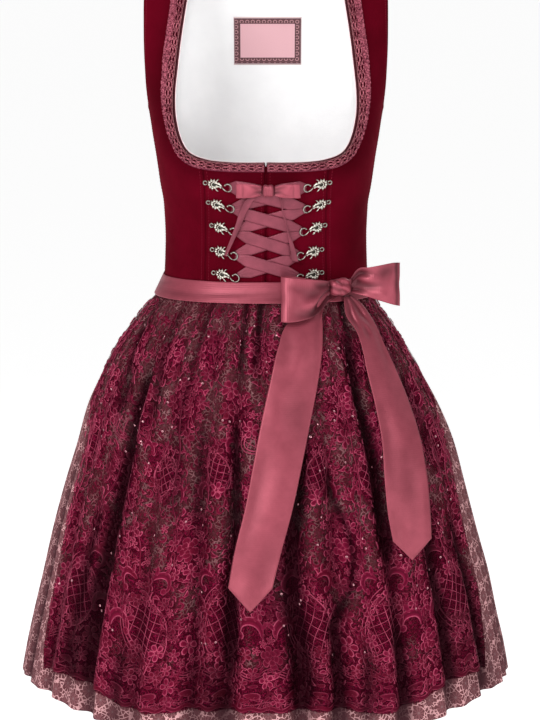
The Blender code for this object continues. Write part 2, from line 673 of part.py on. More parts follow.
def hook_frame(side, row):
    """Matrix of a hook: x runs from its rosette to the eye at the centre front."""
    x = (row.right if side == RIGHT else row.left)
    angle = side * angle_at(x, row.z, BODY, "half", ROUNDNESS)
    centre = on_surface(body, angle, row.z, 0)
    tilt = math.radians(row.tilt)
    inwards = Vector((-side, 0, 0)) * math.cos(tilt) + Vector((0, 0, -1)) * math.sin(tilt)
    axis_x = (inwards - centre.normal * inwards.dot(centre.normal)).normalized()
    axis_y = centre.normal.cross(axis_x)
    turn = Matrix((axis_x, axis_y, centre.normal)).transposed().to_4x4()
    place = centre.place + centre.normal * (HOOK_GAP + HOOK_PLATE / 2)
    return Matrix.Translation(place) @ turn


def hooks():
    for side, name in SIDE_NAMES.items():
        for i, row in enumerate(HOOKS, 1):
            piece = bpy.data.objects.new(f"hook_{name}_{i}", hook_shape())
            piece.matrix_world = hook_frame(side, row)
            as_mesh(piece, silver)


def eye(side, number):
    return hook_frame(side, HOOKS[number]) @ Vector((EYE_AT, 0, 0))


LACE_WIDTH, LACE_END = 14 * MM, 5 * MM
LACE_LIFT, LACE_OVER = 1.9 * MM, 1.7 * MM
LACE_SPREAD, EYE_CLEAR = 3.3 * MM, 0.8 * MM
LACE_ROWS = 7


def on_front(x, z, out):
    """A place over the bodice front."""
    angle = angle_at(x, z, BODY, "half", ROUNDNESS)
    return on_surface(body, angle, z, 0, out).place


def lacing_strip(name, start, end, width, over, ends, stays_up=False):
    """A flat stretch of lacing between two (x, z) places on the bodice front."""
    rows = []
    run = Vector((end[0] - start[0], end[1] - start[1])).normalized()
    across = Vector((-run.y, run.x))
    if across.y > 0:
        across = -across
    for i in range(LACE_ROWS + 1):
        t = i / LACE_ROWS
        arch = math.sin(math.pi * t)
        half = (ends[0] + (ends[1] - ends[0]) * t) / 2
        half += (width / 2 - half) * min(1.0, 1.5 * arch)
        x, z = start[0] + (end[0] - start[0]) * t, start[1] + (end[1] - start[1]) * t
        lift = LACE_LIFT + over * min(1.0, 4 * t if stays_up else 1.3 * arch)
        upper = on_front(x - across.x * half, z - across.y * half, lift)
        lower = on_front(x + across.x * half, z + across.y * half, lift)
        rows.append((upper, lower) if run.x > 0 else (lower, upper))
    strip(name, rows, SATIN, satin)


def lace_end(side, number, drop):
    """Where a stretch of lacing meets its eye, above or below the eye's middle."""
    centre = eye(side, number)
    return centre.x - side * (EYE_RADIUS + EYE_CLEAR), centre.z + drop


def lacing():
    ends = (LACE_END, LACE_END)
    for i in range(4):
        down, up = -LACE_SPREAD, LACE_SPREAD
        lacing_strip(f"lacing_over_{i + 1}", lace_end(RIGHT, i, down), lace_end(LEFT, i + 1, up),
                     LACE_WIDTH, LACE_OVER, ends)
        lacing_strip(f"lacing_under_{i + 1}", lace_end(LEFT, i, down),
                     lace_end(RIGHT, i + 1, up), LACE_WIDTH, 0.0, ends)


# Small bow over the first pair of hooks: its loops, knot and two hanging ends. A loop
# runs out and back: reach from the knot, distance off the bodice and height, in millimetres.
KNOT_X, KNOT_Z, KNOT_HALF, KNOT_HEIGHT = 2.6 * MM, -0.2680, 6.5 * MM, 12 * MM
KNOT_OUT, KNOT_BULGE, KNOT_THICKNESS, KNOT_ROWS = 11.2 * MM, 2.0 * MM, 6 * MM, 6
LACE_TOP_WIDTH, LACE_TOP_END, LACE_TOP_OVER, LACE_TOP_GAP = 11.2 * MM, 9 * MM, 4.4 * MM, 1.6 * MM
LACE_TAIL_LIFT = 7.4 * MM
Loop = namedtuple("Loop", "reach out height")
LACE_LOOP = [
    Loop(0.0, 10.4, 8.0), Loop(8.0, 11.6, 11.5), Loop(18.0, 11.6, 13.5), Loop(26.0, 10.6, 13.5),
    Loop(29.0, 9.2, 13.5), Loop(26.0, 7.8, 13.0), Loop(18.0, 7.6, 12.0), Loop(8.0, 7.6, 10.0),
    Loop(0.0, 7.8, 7.5),
]
# The hanging ends: x, height below the shoulder and width, in millimetres.
LACE_TAIL_RIGHT = [(-6.0, 274.5, 9), (-14.0, 282.0, 9), (-23.0, 295.0, 8), (-30.5, 310.0, 7),
                   (-38.0, 327.0, 5), (-43.5, 342.0, 4)]
LACE_TAIL_LEFT = [(8.6, 274.5, 6), (16.0, 281.0, 5), (21.5, 292.0, 4), (25.0, 310.0, 4),
                  (28.0, 330.0, 5), (30.5, 348.0, 5)]


def lace_bow():
    for side, name in SIDE_NAMES.items():
        start = KNOT_X + side * (KNOT_HALF + SEAM_GAP)
        rows = []
        for row in LACE_LOOP:
            x = start + side * row.reach * MM
            high, low = KNOT_Z + row.height * MM / 2, KNOT_Z - row.height * MM / 2
            pair = on_front(x, high, row.out * MM), on_front(x, low, row.out * MM)
            rows.append(pair if side == LEFT else pair[::-1])
        strip(f"lace_loop_{name}", rows, SATIN, satin)
        held = lace_end(side, 0, LACE_SPREAD)
        lacing_strip(f"lacing_top_{name}", held, (start + side * LACE_TOP_GAP, KNOT_Z),
                     LACE_TOP_WIDTH, LACE_TOP_OVER, (LACE_END, LACE_TOP_END), stays_up=True)
    rows = []
    for i in range(KNOT_ROWS + 1):
        t = i / KNOT_ROWS
        x = KNOT_X + KNOT_HALF * (2 * t - 1)
        high, low = KNOT_Z + KNOT_HEIGHT / 2, KNOT_Z - KNOT_HEIGHT / 2
        out = KNOT_OUT + KNOT_BULGE * math.sin(math.pi * t)
        rows.append([on_surface(body, angle_at(x, z, BODY, "half", ROUNDNESS), z, z, out)
                     for z in (low, KNOT_Z, high)])
    cloth("lace_knot", rows, KNOT_THICKNESS, satin)
    for name, table in (("right", LACE_TAIL_RIGHT), ("left", LACE_TAIL_LEFT)):
        rows = []
        for x, z, width in table:
            half = width * MM / 2
            rows.append([on_front(edge, -z * MM, LACE_TAIL_LIFT)
                         for edge in (x * MM - half, x * MM + half)])
        strip(f"lace_tail_{name}", rows, SATIN, satin)


RIBBON_TOP, RIBBON_BOTTOM = -0.3730, -0.3955
RIBBON_OUT_TOP, RIBBON_OUT_BOTTOM, RIBBON_COLUMNS = 1.8 * MM, 4.2 * MM, 26
APRON_TOP, APRON_OUT = RIBBON_BOTTOM - 0.9 * MM, 4.2 * MM


def ribbon_face(angle, z):
    """Outer face of the waist ribbon, from the bodice out over the gathers."""
    half = read(BODY, RIBBON_TOP, "half") + RIBBON_OUT_TOP
    top = section(angle, (half, half), (read(BODY, RIBBON_TOP, "front") + RIBBON_OUT_TOP,
                                        read(BODY, RIBBON_TOP, "back") + RIBBON_OUT_TOP),
                  ROUNDNESS)
    low = RIBBON_BOTTOM - 1 * MM
    out = RIBBON_OUT_BOTTOM
    bottom = section(angle, (read(SKIRT, low, "right") + out, read(SKIRT, low, "left") + out),
                     (read(SKIRT, low, "front") + out, read(SKIRT, low, "back") + out),
                     ROUNDNESS)
    t = (RIBBON_TOP - z) / (RIBBON_TOP - RIBBON_BOTTOM)
    return Vector((top[0] + (bottom[0] - top[0]) * t, top[1] + (bottom[1] - top[1]) * t, z))


def waist_ribbon():
    for name, low in (("front", -90), ("back", 90)):
        rows = []
        for z in (RIBBON_BOTTOM, RIBBON_TOP):
            angles = [low + 180 * i / RIBBON_COLUMNS for i in range(RIBBON_COLUMNS + 1)]
            rows.append(ease([on_surface(ribbon_face, angle, z, angle) for angle in angles]))
        cloth("waist_ribbon_" + name, rows, SATIN, satin)


FALL_ROWS = [-0.770, -0.680, -0.590, -0.515, -0.455, -0.420, APRON_TOP]


def skirt_and_apron():
    for name, low, high in (("front", -90, 90), ("back", 90, 270)):
        columns = fold_columns(low, high)
        rows = [ease([on_surface(skirt, angle, hem(angle, "skirt"), angle) for angle in columns])]
        for z in FALL_ROWS + [WAIST - SEAM_GAP]:
            rows.append(ease([on_surface(skirt, angle, z, angle) for angle in columns]))
        cloth("skirt_" + name, rows, SKIRT_CLOTH, print_cotton)
    back = fold_columns(90, 270)
    ring = [angle - 360 for angle in back[:-1]] + fold_columns(-90, 90) + back[1:]
    edge = read(SKIRT, hem(SKIRT[-1].edge, "apron"), "edge")
    row = [on_surface(apron_face, angle, hem(angle, "apron"), angle)
           for angle in ring if abs(angle) < edge]
    rows = [with_ends(row, edge, hem(edge, "apron"), ring)]
    for z in FALL_ROWS:
        edge = read(SKIRT, z, "edge")
        row = [on_surface(apron_face, angle, z, angle) for angle in ring if abs(angle) < edge]
        rows.append(with_ends(row, edge, z, ring))
    cloth("apron", rows, LACE, lace)


def apron_face(angle, z):
    return skirt(angle, z, APRON_OUT)


def with_ends(row, edge, z, ring):
    """Adds the apron's side edges, on straight lines between two of the skirt's columns."""
    ends = []
    for sign, near in ((-1, row[0]), (1, row[-1])):
        beyond = min((angle for angle in ring if angle * sign >= edge), key=abs)
        far = on_surface(apron_face, beyond, z, beyond)
        t = (edge * sign - near.key) / (beyond - near.key)
        normal = near.normal.lerp(far.normal, t).normalized()
        ends.append(Point(edge * sign, near.place.lerp(far.place, t), normal))
    return [ends[0]] + row + [ends[1]]


# Bow over the wearer's left front: places of the upper and lower ribbon edges.
Bow = namedtuple("Bow", "x y_top z_top y_low z_low")
LOOP_RIGHT = [
    Bow(70.3, -97.5, -371.5, -98.0, -387.5), Bow(56.0, -106.5, -369.0, -113.5, -399.0),
    Bow(42.0, -110.0, -366.8, -122.5, -408.5), Bow(28.0, -111.0, -365.2, -127.5, -412.0),
    Bow(20.5, -109.5, -364.5, -127.5, -412.5), Bow(16.5, -106.0, -364.5, -124.5, -412.5),
    Bow(20.5, -102.5, -364.7, -121.0, -412.3), Bow(32.0, -101.5, -365.5, -119.5, -410.0),
    Bow(46.0, -100.5, -368.0, -115.0, -403.0), Bow(58.0, -98.0, -370.0, -106.5, -395.5),
    Bow(70.3, -92.5, -372.5, -93.0, -387.0),
]
LOOP_LEFT = [
    Bow(94.9, -85.5, -369.5, -85.0, -385.0), Bow(102.0, -90.0, -358.5, -90.0, -386.5),
    Bow(115.0, -95.0, -355.8, -95.5, -389.5), Bow(130.0, -96.0, -353.0, -97.5, -394.0),
    Bow(143.0, -93.0, -351.0, -95.5, -398.0), Bow(149.0, -88.0, -351.5, -90.5, -399.5),
    Bow(146.0, -82.5, -352.5, -85.0, -399.0), Bow(133.0, -81.0, -355.0, -83.5, -394.0),
    Bow(118.0, -80.5, -357.5, -83.0, -389.5), Bow(104.0, -80.0, -361.5, -81.0, -386.5),
    Bow(95.2, -80.0, -370.0, -79.5, -384.5),
]
BOW_KNOT = Vector((0.0815, -0.0860, -0.3790))
BOW_KNOT_TURN = 28.0
BOW_KNOT_SIZE = Vector((12.8 * MM, 9.6 * MM, 10.5 * MM))
KNOT_PINCH = 0.22        # how much narrower the knot is in its middle

# Hanging ends: height, left and right edge as seen, and how far each lies off the crests.
Tail = namedtuple("Tail", "z x_a x_b lift_a lift_b")
TAIL_RIGHT = [
    Tail(-390.2, 70.0, 84.0, 9.5, 9.5), Tail(-401.0, 45.0, 72.5, 8.0, 8.0),
    Tail(-414.0, 24.3, 63.0, 8.0, 8.0), Tail(-440.0, 13.5, 62.4, 8.5, 8.5),
    Tail(-475.8, 4.6, 57.5, 8.0, 8.0), Tail(-513.5, -4.1, 50.0, 8.0, 8.0),
    Tail(-565.1, -14.1, 39.2, 8.0, 8.0), Tail(-610.7, -22.9, 29.0, 8.0, 8.5),
    Tail(-652.4, -33.5, 17.6, 8.0, 8.5), Tail(-693.5, -41.1, 7.2, 8.0, 9.0),
]
TIP_RIGHT = (-718.9, -20.4, 8.0)
TAIL_LEFT = [
    Tail(-389.4, 87.0, 95.5, 10.5, 10.5), Tail(-399.0, 87.5, 106.5, 8.0, 8.0),
    Tail(-410.0, 89.5, 115.0, 8.0, 8.0), Tail(-426.0, 100.5, 124.5, 8.5, 8.0),
    Tail(-444.0, 106.9, 132.5, 8.0, 8.5), Tail(-466.1, 111.5, 143.0, 8.0, 8.5),
    Tail(-509.9, 122.1, 161.0, 8.0, 8.0), Tail(-542.9, 128.2, 171.5, 8.0, 11.5),
    Tail(-581.0, 130.8, 178.5, 8.0, 17.0), Tail(-622.8, 134.7, 182.2, 8.0, 19.0),
    Tail(-651.0, 140.0, 183.3, 8.5, 19.0),
]
TIP_LEFT = (-672.6, 164.9, 12.0)


def over_skirt(x, z, lift):
    """A place in front of the skirt's crests, for a width and height in millimetres."""
    x, z, lift = x * MM, z * MM, lift * MM
    width = read(SKIRT, z, "left" if x > 0 else "right") + lift
    depth = read(SKIRT, z, "front") + lift
    power = skirt_roundness(z)
    return Vector((x, -depth * (1 - (abs(x) / width) ** power) ** (1 / power), z))


def bow():
    for name, table in (("right", LOOP_RIGHT), ("left", LOOP_LEFT)):
        rows = []
        for row in table:
            pair = (Vector((row.x, row.y_top, row.z_top)) * MM,
                    Vector((row.x, row.y_low, row.z_low)) * MM)
            rows.append(pair if name == "left" else pair[::-1])
        strip("bow_loop_" + name, rows, SATIN, satin)
    for name, table, tip in (("right", TAIL_RIGHT, TIP_RIGHT), ("left", TAIL_LEFT, TIP_LEFT)):
        rows = []
        for row in table:
            a = over_skirt(row.x_a, row.z, row.lift_a)
            b = over_skirt(row.x_b, row.z, row.lift_b)
            rows.append((a, b))
        tail = ribbon_end(rows, over_skirt(tip[1], tip[0], tip[2]))
        cloth("bow_tail_" + name, tail, SATIN, satin)
    bow_knot()


def ribbon_end(rows, tip):
    """Rows of a hanging end, with its middle drawn down to a point at the last row."""
    walls = []
    for i, (a, b) in enumerate(rows):
        before, after = rows[max(i - 1, 0)], rows[min(i + 1, len(rows) - 1)]
        down = (after[0] + after[1]) - (before[0] + before[1])
        normal = down.cross(b - a).normalized()
        middle = tip if i == len(rows) - 1 else (a + b) / 2
        walls.append([Point(0, a, normal), Point(0.5, middle, normal), Point(1, b, normal)])
    return walls


def bow_knot():
    """The tight wrap in the middle of the bow, as a rounded closed form."""
    bpy.ops.mesh.primitive_uv_sphere_add(segments=12, ring_count=8, radius=1.0)
    piece = bpy.context.object
    piece.name = piece.data.name = "bow_knot"
    for vertex in piece.data.vertices:
        x, y, z = vertex.co
        waisted = 1 - KNOT_PINCH * (1 - min(1.0, abs(x))) ** 2
        full = 1 / max(abs(x) ** 3 + (y * y + z * z) ** 1.5, 0.05) ** (1 / 3)
        vertex.co = Vector((x * BOW_KNOT_SIZE.x, y * BOW_KNOT_SIZE.y * waisted,
                            z * BOW_KNOT_SIZE.z * waisted)) * full
    piece.data.transform(Matrix.Rotation(math.radians(BOW_KNOT_TURN), 4, "Z"))
    piece.data.materials.append(satin)
    piece.data.shade_smooth()
    piece.location = BOW_KNOT
    for owner in list(piece.users_collection):
        owner.objects.unlink(piece)
    collection.objects.link(piece)


def main():
    for piece in list(bpy.data.objects):
        bpy.data.objects.remove(piece, do_unlink=True)
    bpy.context.scene.collection.children.link(collection)
    bodice()
    lining_and_label()
    neck_edging()
    hooks()
    lacing()
    lace_bow()
    waist_ribbon()
    skirt_and_apron()
    bow()


main()
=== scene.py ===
import math
from collections import namedtuple

import bmesh
import bpy
import numpy as np
from mathutils import Matrix, Vector


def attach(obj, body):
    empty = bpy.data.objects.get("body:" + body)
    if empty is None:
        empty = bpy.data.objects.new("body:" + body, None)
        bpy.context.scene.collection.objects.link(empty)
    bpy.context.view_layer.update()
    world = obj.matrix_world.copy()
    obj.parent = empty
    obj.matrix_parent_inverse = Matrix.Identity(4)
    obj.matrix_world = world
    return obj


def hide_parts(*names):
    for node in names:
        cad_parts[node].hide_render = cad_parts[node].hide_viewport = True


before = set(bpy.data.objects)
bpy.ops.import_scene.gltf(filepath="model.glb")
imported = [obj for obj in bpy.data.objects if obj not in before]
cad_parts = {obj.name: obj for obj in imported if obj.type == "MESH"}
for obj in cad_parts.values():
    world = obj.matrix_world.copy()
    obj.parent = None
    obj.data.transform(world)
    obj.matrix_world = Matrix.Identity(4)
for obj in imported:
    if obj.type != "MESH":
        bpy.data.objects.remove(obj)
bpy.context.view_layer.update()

# Camera at the photograph's angle: level with the shoulders, on a long lens, and
# looking a little down at the middle of the dress.
IMAGE_HEIGHT_PX, FOCAL_PX = 720, 2609
CAMERA, AIM = (0.0046, -2.963, 0.0), (0.0046, 0.0, -0.475)


def placed(name, data, place=(0, 0, 0), target=None):
    """A new object of the scene, turned to look at its target."""
    thing = bpy.data.objects.new(name, data)
    bpy.context.scene.collection.objects.link(thing)
    thing.location = place
    if target:
        thing.rotation_euler = (Vector(target) - thing.location).to_track_quat("-Z", "Y").to_euler()
    return thing


camera = placed("camera", bpy.data.cameras.new("camera"), CAMERA, AIM)
camera.data.sensor_width = 36
camera.data.lens = camera.data.sensor_width * FOCAL_PX / IMAGE_HEIGHT_PX
bpy.context.scene.camera = camera


# Studio: a wide pale floor under the hanging dress, a soft white surround and large
# soft lights, the main one from the upper left of the camera.
class Socket:
    """A shader socket, whose operators add Math nodes."""

    def __init__(self, finish, output):
        self.finish, self.output = finish, output

    def maths(self, operation, *others):
        return self.finish.node("Math", {"operation": operation}, [self, *others])

    def __add__(self, other):
        return self.maths("ADD", other)

    def __sub__(self, other):
        return self.maths("SUBTRACT", other)

    def __rsub__(self, other):
        return self.finish.node("Math", {"operation": "SUBTRACT"}, [other, self])

    def __mul__(self, other):
        return self.maths("MULTIPLY", other)

    def __mod__(self, other):
        return self.maths("FLOORED_MODULO", other)

    def __lt__(self, other):
        return self.maths("LESS_THAN", other)

    def __gt__(self, other):
        return self.maths("GREATER_THAN", other)

    __radd__, __rmul__ = __add__, __mul__


class Finish:
    """A material of one Principled BSDF, whose other nodes are added one by one."""

    def __init__(self, name, **constants):
        self.material = bpy.data.materials.new(name)
        self.material.use_nodes = True
        self.tree = self.material.node_tree
        self.shader = self.tree.nodes["Principled BSDF"]
        for socket, value in constants.items():
            self.feed(self.shader.inputs[socket.replace("_", " ")], value)

    def feed(self, socket, value):
        if isinstance(value, Socket):
            self.tree.links.new(value.output, socket)
        elif socket.type == "RGBA":
            socket.default_value = (*value, 1.0)
        else:
            socket.default_value = value

    def node(self, kind, settings, sockets, output=0):
        node = self.tree.nodes.new("ShaderNode" + kind)
        for setting, value in settings.items():
            if setting == "stops":
                for (place, colour), stop in zip(value, node.color_ramp.elements):
                    stop.position, stop.color = place, (*colour, 1.0)
            else:
                setattr(node, setting, value)
        for key, value in sockets.items() if isinstance(sockets, dict) else enumerate(sockets):
            self.feed(node.inputs[key], value)
        return Socket(self, node.outputs[output])

    def blend(self, share, first, second):
        """The first colour where share is 0 and the second where it is 1."""
        return self.node("Mix", {"data_type": "RGBA"}, {0: share, 6: first, 7: second}, 2)

    def place(self):
        """Object coordinates in metres."""
        return self.node("TexCoord", {}, {}, 3)

    def cut(self, scale=1.0):
        """The cloth's flat coordinates in metres, times scale."""
        spot = self.node("UVMap", {"uv_map": "cut"}, {})
        return self.node("VectorMath", {"operation": "SCALE"}, {0: spot, 3: scale})

    def mark(self, name):
        """A value marked on the mesh."""
        return self.node("Attribute", {"attribute_name": name}, {}, 2)

    def noise(self, where, scale, detail, roughness):
        return self.node("TexNoise", {}, {"Vector": where, "Scale": scale, "Detail": detail,
                                          "Roughness": roughness})

    def grain(self, scale, detail=2.0, roughness=0.5):
        """Noise over the object."""
        return self.noise(self.place(), scale, detail, roughness)

    def weave(self, scale, detail=2.0, roughness=0.5):
        """Noise over the flat cloth."""
        return self.noise(self.cut(), scale, detail, roughness)

    def split(self, where):
        """x and y of a vector."""
        parts = self.node("SeparateXYZ", {}, [where])
        return parts, Socket(self, parts.output.node.outputs[1])

    def bump(self, height, distance, strength=1.0):
        normal = self.node("Bump", {}, {"Height": height, "Distance": distance,
                                        "Strength": strength})
        self.feed(self.shader.inputs["Normal"], normal)

    def colour(self, value):
        self.feed(self.shader.inputs["Base Color"], value)


FLOOR_Z, FLOOR_SIZE = -1.32, 600.0
bpy.ops.mesh.primitive_plane_add(size=FLOOR_SIZE, location=(0, 0, FLOOR_Z))
floor = bpy.context.object
floor.name = "floor"
pale = Finish("pale floor", Base_Color=(0.9, 0.9, 0.9), Roughness=0.9,
              Emission_Color=(1.0, 1.0, 1.0), Emission_Strength=0.66)
floor.data.materials.append(pale.material)

surround = bpy.data.worlds.new("surround")
surround.use_nodes = True
white = surround.node_tree.nodes["Background"]
white.inputs["Color"].default_value, white.inputs["Strength"].default_value = (1, 1, 1, 1), 0.34
bpy.context.scene.world = surround
bpy.context.scene.view_settings.view_transform = "Standard"

# Each light: place, power in watts and width in metres. All look at the bodice, and a
# narrow one looks in at the back lining.
LIGHTS = {
    "main": ((-1.5, -2.8, 1.2), 62, 1.3),
    "fill": ((2.3, -2.7, 0.5), 20, 1.6),
    "low": ((-0.5, -2.6, -1.0), 5, 1.4),
    "behind": ((1.2, 2.6, 1.2), 20, 1.8),
}
LIGHTS_AIM = (0, 0, -0.35)
INSIDE_WATTS, INSIDE_DEGREES, INSIDE_BLEND, INSIDE_SOFTNESS = 46, 21, 0.8, 0.12
INSIDE_PLACE, INSIDE_AIM = (0.0, -1.6, 0.35), (0, 0.08, -0.105)
for name, (place, power, size) in LIGHTS.items():
    lamp = placed("light_" + name, bpy.data.lights.new(name, "AREA"), place, LIGHTS_AIM)
    lamp.data.energy, lamp.data.size = power, size
    lamp.visible_camera = False
inside = placed("light_inside", bpy.data.lights.new("inside", "SPOT"), INSIDE_PLACE, INSIDE_AIM)
inside.data.energy, inside.data.spot_size = INSIDE_WATTS, math.radians(INSIDE_DEGREES)
inside.data.spot_blend, inside.data.shadow_soft_size = INSIDE_BLEND, INSIDE_SOFTNESS


# Bodice: eight panels of burgundy cotton velvet on a firm interlining, joined by
# princess seams, open at the neck and arms.
MM = 0.001
RIGHT, LEFT = -1, 1
SIDES = {RIGHT: "right", LEFT: "left"}
VELVET, SEAM_GAP = 1.5 * MM, 0.3 * MM
WAIST = -0.386
ROUNDNESS = 2.3            # exponent of the bodice sections: 2 is an ellipse
SIDE_SEAM = 1.0            # a width past any section: the row ends at the side seam

Body = namedtuple("Body", "z half front back")
BODY = [Body(*row) for row in (
    (0, 0.16, 0, 0), (-0.006, 0.16, 0.013, 0.013), (-0.02, 0.158, 0.026, 0.028),
    (-0.05, 0.156, 0.044, 0.052), (-0.1, 0.149, 0.072, 0.078), (-0.14, 0.142, 0.091, 0.087),
    (-0.165, 0.1375, 0.101, 0.09), (-0.187, 0.1323, 0.108, 0.091), (-0.22, 0.1272, 0.113, 0.09),
    (-0.24, 0.124, 0.113, 0.0885), (-0.2665, 0.1203, 0.109, 0.087), (-0.3, 0.1155, 0.1, 0.085),
    (-0.33, 0.1143, 0.0935, 0.0835), (-0.36, 0.115, 0.09, 0.083), (WAIST, 0.1165, 0.0885, 0.083),
)]
# The front panels' seams and edges, from the waist up: x and z.
CENTRE_LINE = [(0, z) for z in (WAIST, -0.362, -0.335, -0.31, -0.285, -0.262, -0.2405)]
FRONT_SEAM = [
    (0.068, WAIST), (0.0678, -0.362), (0.0672, -0.335), (0.067, -0.31), (0.0672, -0.284),
    (0.068, -0.258), (0.0715, -0.2368), (0.083, -0.233), (0.092, -0.2225), (0.098, -0.2075),
    (0.1015, -0.19), (0.102, -0.168), (0.0998, -0.145), (0.0965, -0.118), (0.0925, -0.09),
    (0.0882, -0.062), (0.0825, -0.032), (0.078, -0.011), (0.076, 0),
]
FRONT_ARM = [(SIDE_SEAM, z) for z in
             (WAIST, -0.362, -0.335, -0.31, -0.284, -0.25, -0.226, -0.212, -0.199, -0.187)]
FRONT_ARM += [(0.133, -0.178), (0.1354, -0.15), (0.1362, -0.13), (0.1367, -0.108),
              (0.1367, -0.084), (0.1364, -0.06), (0.135, -0.036), (0.1325, -0.014),
              (0.131, 0.0)]
NECK_CORNER = 6            # row of the front seam where it becomes the neckline
BACK_MIDDLE = [(0, z) for z in (WAIST, -0.345, -0.3, -0.255, -0.205, -0.18, -0.155, -0.1,
                                -0.052)]
BACK_MIDDLE += [(0.02, -0.0512), (0.04, -0.0475), (0.062, -0.036), (0.074, -0.017),
                (0.076, 0.0)]
BACK_SEAM = [
    (0.045, WAIST), (0.044, -0.345), (0.045, -0.3), (0.0505, -0.254), (0.0595, -0.203),
    (0.0645, -0.177), (0.07, -0.15), (0.0805, -0.098), (0.09, -0.06), (0.0922, -0.05), (0.095, -0.04),
    (0.0993, -0.022), (0.1022, -0.008), (0.1035, 0),
]
BACK_ARM = [(SIDE_SEAM, z) for z in (WAIST, -0.345, -0.3, -0.245, -0.187)]
BACK_ARM += [(0.132, -0.176), (0.13, -0.15), (0.1277, -0.112), (0.1272, -0.077),
             (0.1276, -0.062), (0.1282, -0.046), (0.1298, -0.024), (0.1308, -0.009),
             (0.131, 0.0)]
BACK_NECK = 8              # row of the back's middle where it becomes the neckline
NECK_BOW = 3               # how late the front neckline rises towards its corner
SHOULDER_DROP, SHOULDER_START, SHOULDER_END = 12 * MM, 0.078, 0.131
CUP_RISE, CUP_X, CUP_Z, CUP_WIDTH, CUP_HEIGHT = 10 * MM, 0.075, -0.236, 0.032, 0.04
CUP_FADE = 0.3             # cosine of the angle from which a cup fades towards the side seam
ROLL_DEPTH, ROLL_WIDTH, ROLL_TOP, ROLL_FULL = 14 * MM, 0.03, -0.1, -0.175
SEAM_ROLL, SEAM_ROLL_WIDTH = 0.6 * MM, 2.2 * MM


def between_knots(values, slopes, i, span, t):
    """Cubic from value i to the next, at shares t of the span between their knots."""
    return (values[i] * (1 + 2 * t) * (1 - t) ** 2 + values[i + 1] * t * t * (3 - 2 * t)
            + span * slopes[i] * t * (1 - t) ** 2 - span * slopes[i + 1] * t * t * (1 - t))


def through(knots, values, at):
    """A smooth curve through the values at rising knots, which turns only at them."""
    knots, values, at = (np.asarray(part, float) for part in (knots, values, at))
    steps = np.diff(values) / np.diff(knots)
    slopes = np.concatenate([steps[:1], np.zeros(len(steps) - 1), steps[-1:]])
    both = steps[:-1] * steps[1:]
    rising = both > 0
    slopes[1:-1][rising] = (2 * both[rising]) / (steps[:-1] + steps[1:])[rising]
    at = np.clip(at, knots[0], knots[-1])
    i = np.clip(np.searchsorted(knots, at, side="right") - 1, 0, len(steps) - 1)
    span = np.diff(knots)[i]
    return between_knots(values, slopes, i, span, (at - knots[i]) / span)


def clipped(values):
    """The values kept from 0 to 1."""
    return np.clip(values, 0, 1)


def part_way(x, start, end):
    """How far x has come from start to end, from 0 to 1."""
    return clipped((x - start) / (end - start))


def bell(x, width):
    """1 at x = 0, falling softly to nothing on both sides."""
    return np.exp(-(x / width) ** 2)


def read(rows, z, column):
    """A table's column at height z."""
    return through([-row.z for row in rows], [getattr(row, column) for row in rows], -z)


def section(angle, widths, depths, roundness):
    """x and y on a rounded section, for half-widths (right, left) and depths (front, back)."""
    across, along = np.sin(np.radians(angle)), np.cos(np.radians(angle))
    width = np.where(across > 0, widths[1], widths[0])
    depth = np.where(along > 0, depths[0], depths[1])
    power = 2 / roundness
    return (np.sign(across) * np.abs(across) ** power * width,
            -np.sign(along) * np.abs(along) ** power * depth)


def angle_at(x, z, back=False):
    """Angle on the bodice, from 0 at the front, where its width is x."""
    share = np.minimum(np.abs(x) / read(BODY, z, "half"), 1.0)
    angle = np.degrees(np.arcsin(share ** (ROUNDNESS / 2)))
    return np.where(np.asarray(x) < 0, -1, 1) * (180 - angle if back else angle)


def neckline_distance(x, z):
    """Distance from the front neckline, seen from the front."""
    edge = [CENTRE_LINE[-1], (0.055, -0.239)] + FRONT_SEAM[NECK_CORNER:]
    best = np.ones(np.shape(x))
    for (ax, az), (bx, bz) in zip(edge, edge[1:]):
        dx, dz = bx - ax, bz - az
        t = clipped(((x - ax) * dx + (z - az) * dz) / (dx * dx + dz * dz))
        best = np.minimum(best, np.hypot(x - ax - t * dx, z - az - t * dz))
    return best


def body(angle, z):
    """Outer face of the bodice at angles and heights: 0 is the front, 90 the wearer's left."""
    angle, z = np.broadcast_arrays(np.asarray(angle, float), np.asarray(z, float))
    half = read(BODY, z, "half")
    x, y = section(angle, (half, half), (read(BODY, z, "front"), read(BODY, z, "back")), ROUNDNESS)
    forward = np.cos(np.radians(angle))
    cup = CUP_RISE * np.exp(-((np.abs(x) - CUP_X) / CUP_WIDTH) ** 2 - ((z - CUP_Z) / CUP_HEIGHT) ** 2)
    cup = cup * clipped(forward / CUP_FADE)
    near = clipped(1 - neckline_distance(np.abs(x), z) / ROLL_WIDTH)
    share = part_way(z, ROLL_TOP, ROLL_FULL)
    y = y + np.where(forward > 0, ROLL_DEPTH * share * near ** 2 - cup, 0)
    outward = part_way(np.abs(x), SHOULDER_START, SHOULDER_END)
    return np.stack([x, y, z - SHOULDER_DROP * outward * np.clip(1 + z / 0.05, 0, None)], axis=-1)


def unit(vectors):
    return vectors / np.maximum(np.linalg.norm(vectors, axis=-1, keepdims=True), 1e-9)


def facing(surface, angle, z):
    """Outward direction of a surface at angles and heights."""
    turn, rise = 0.4, 0.8 * MM
    around = surface(angle + turn, z) - surface(angle - turn, z)
    up = surface(angle, z + rise) - surface(angle, z - rise)
    return unit(np.cross(around, up))


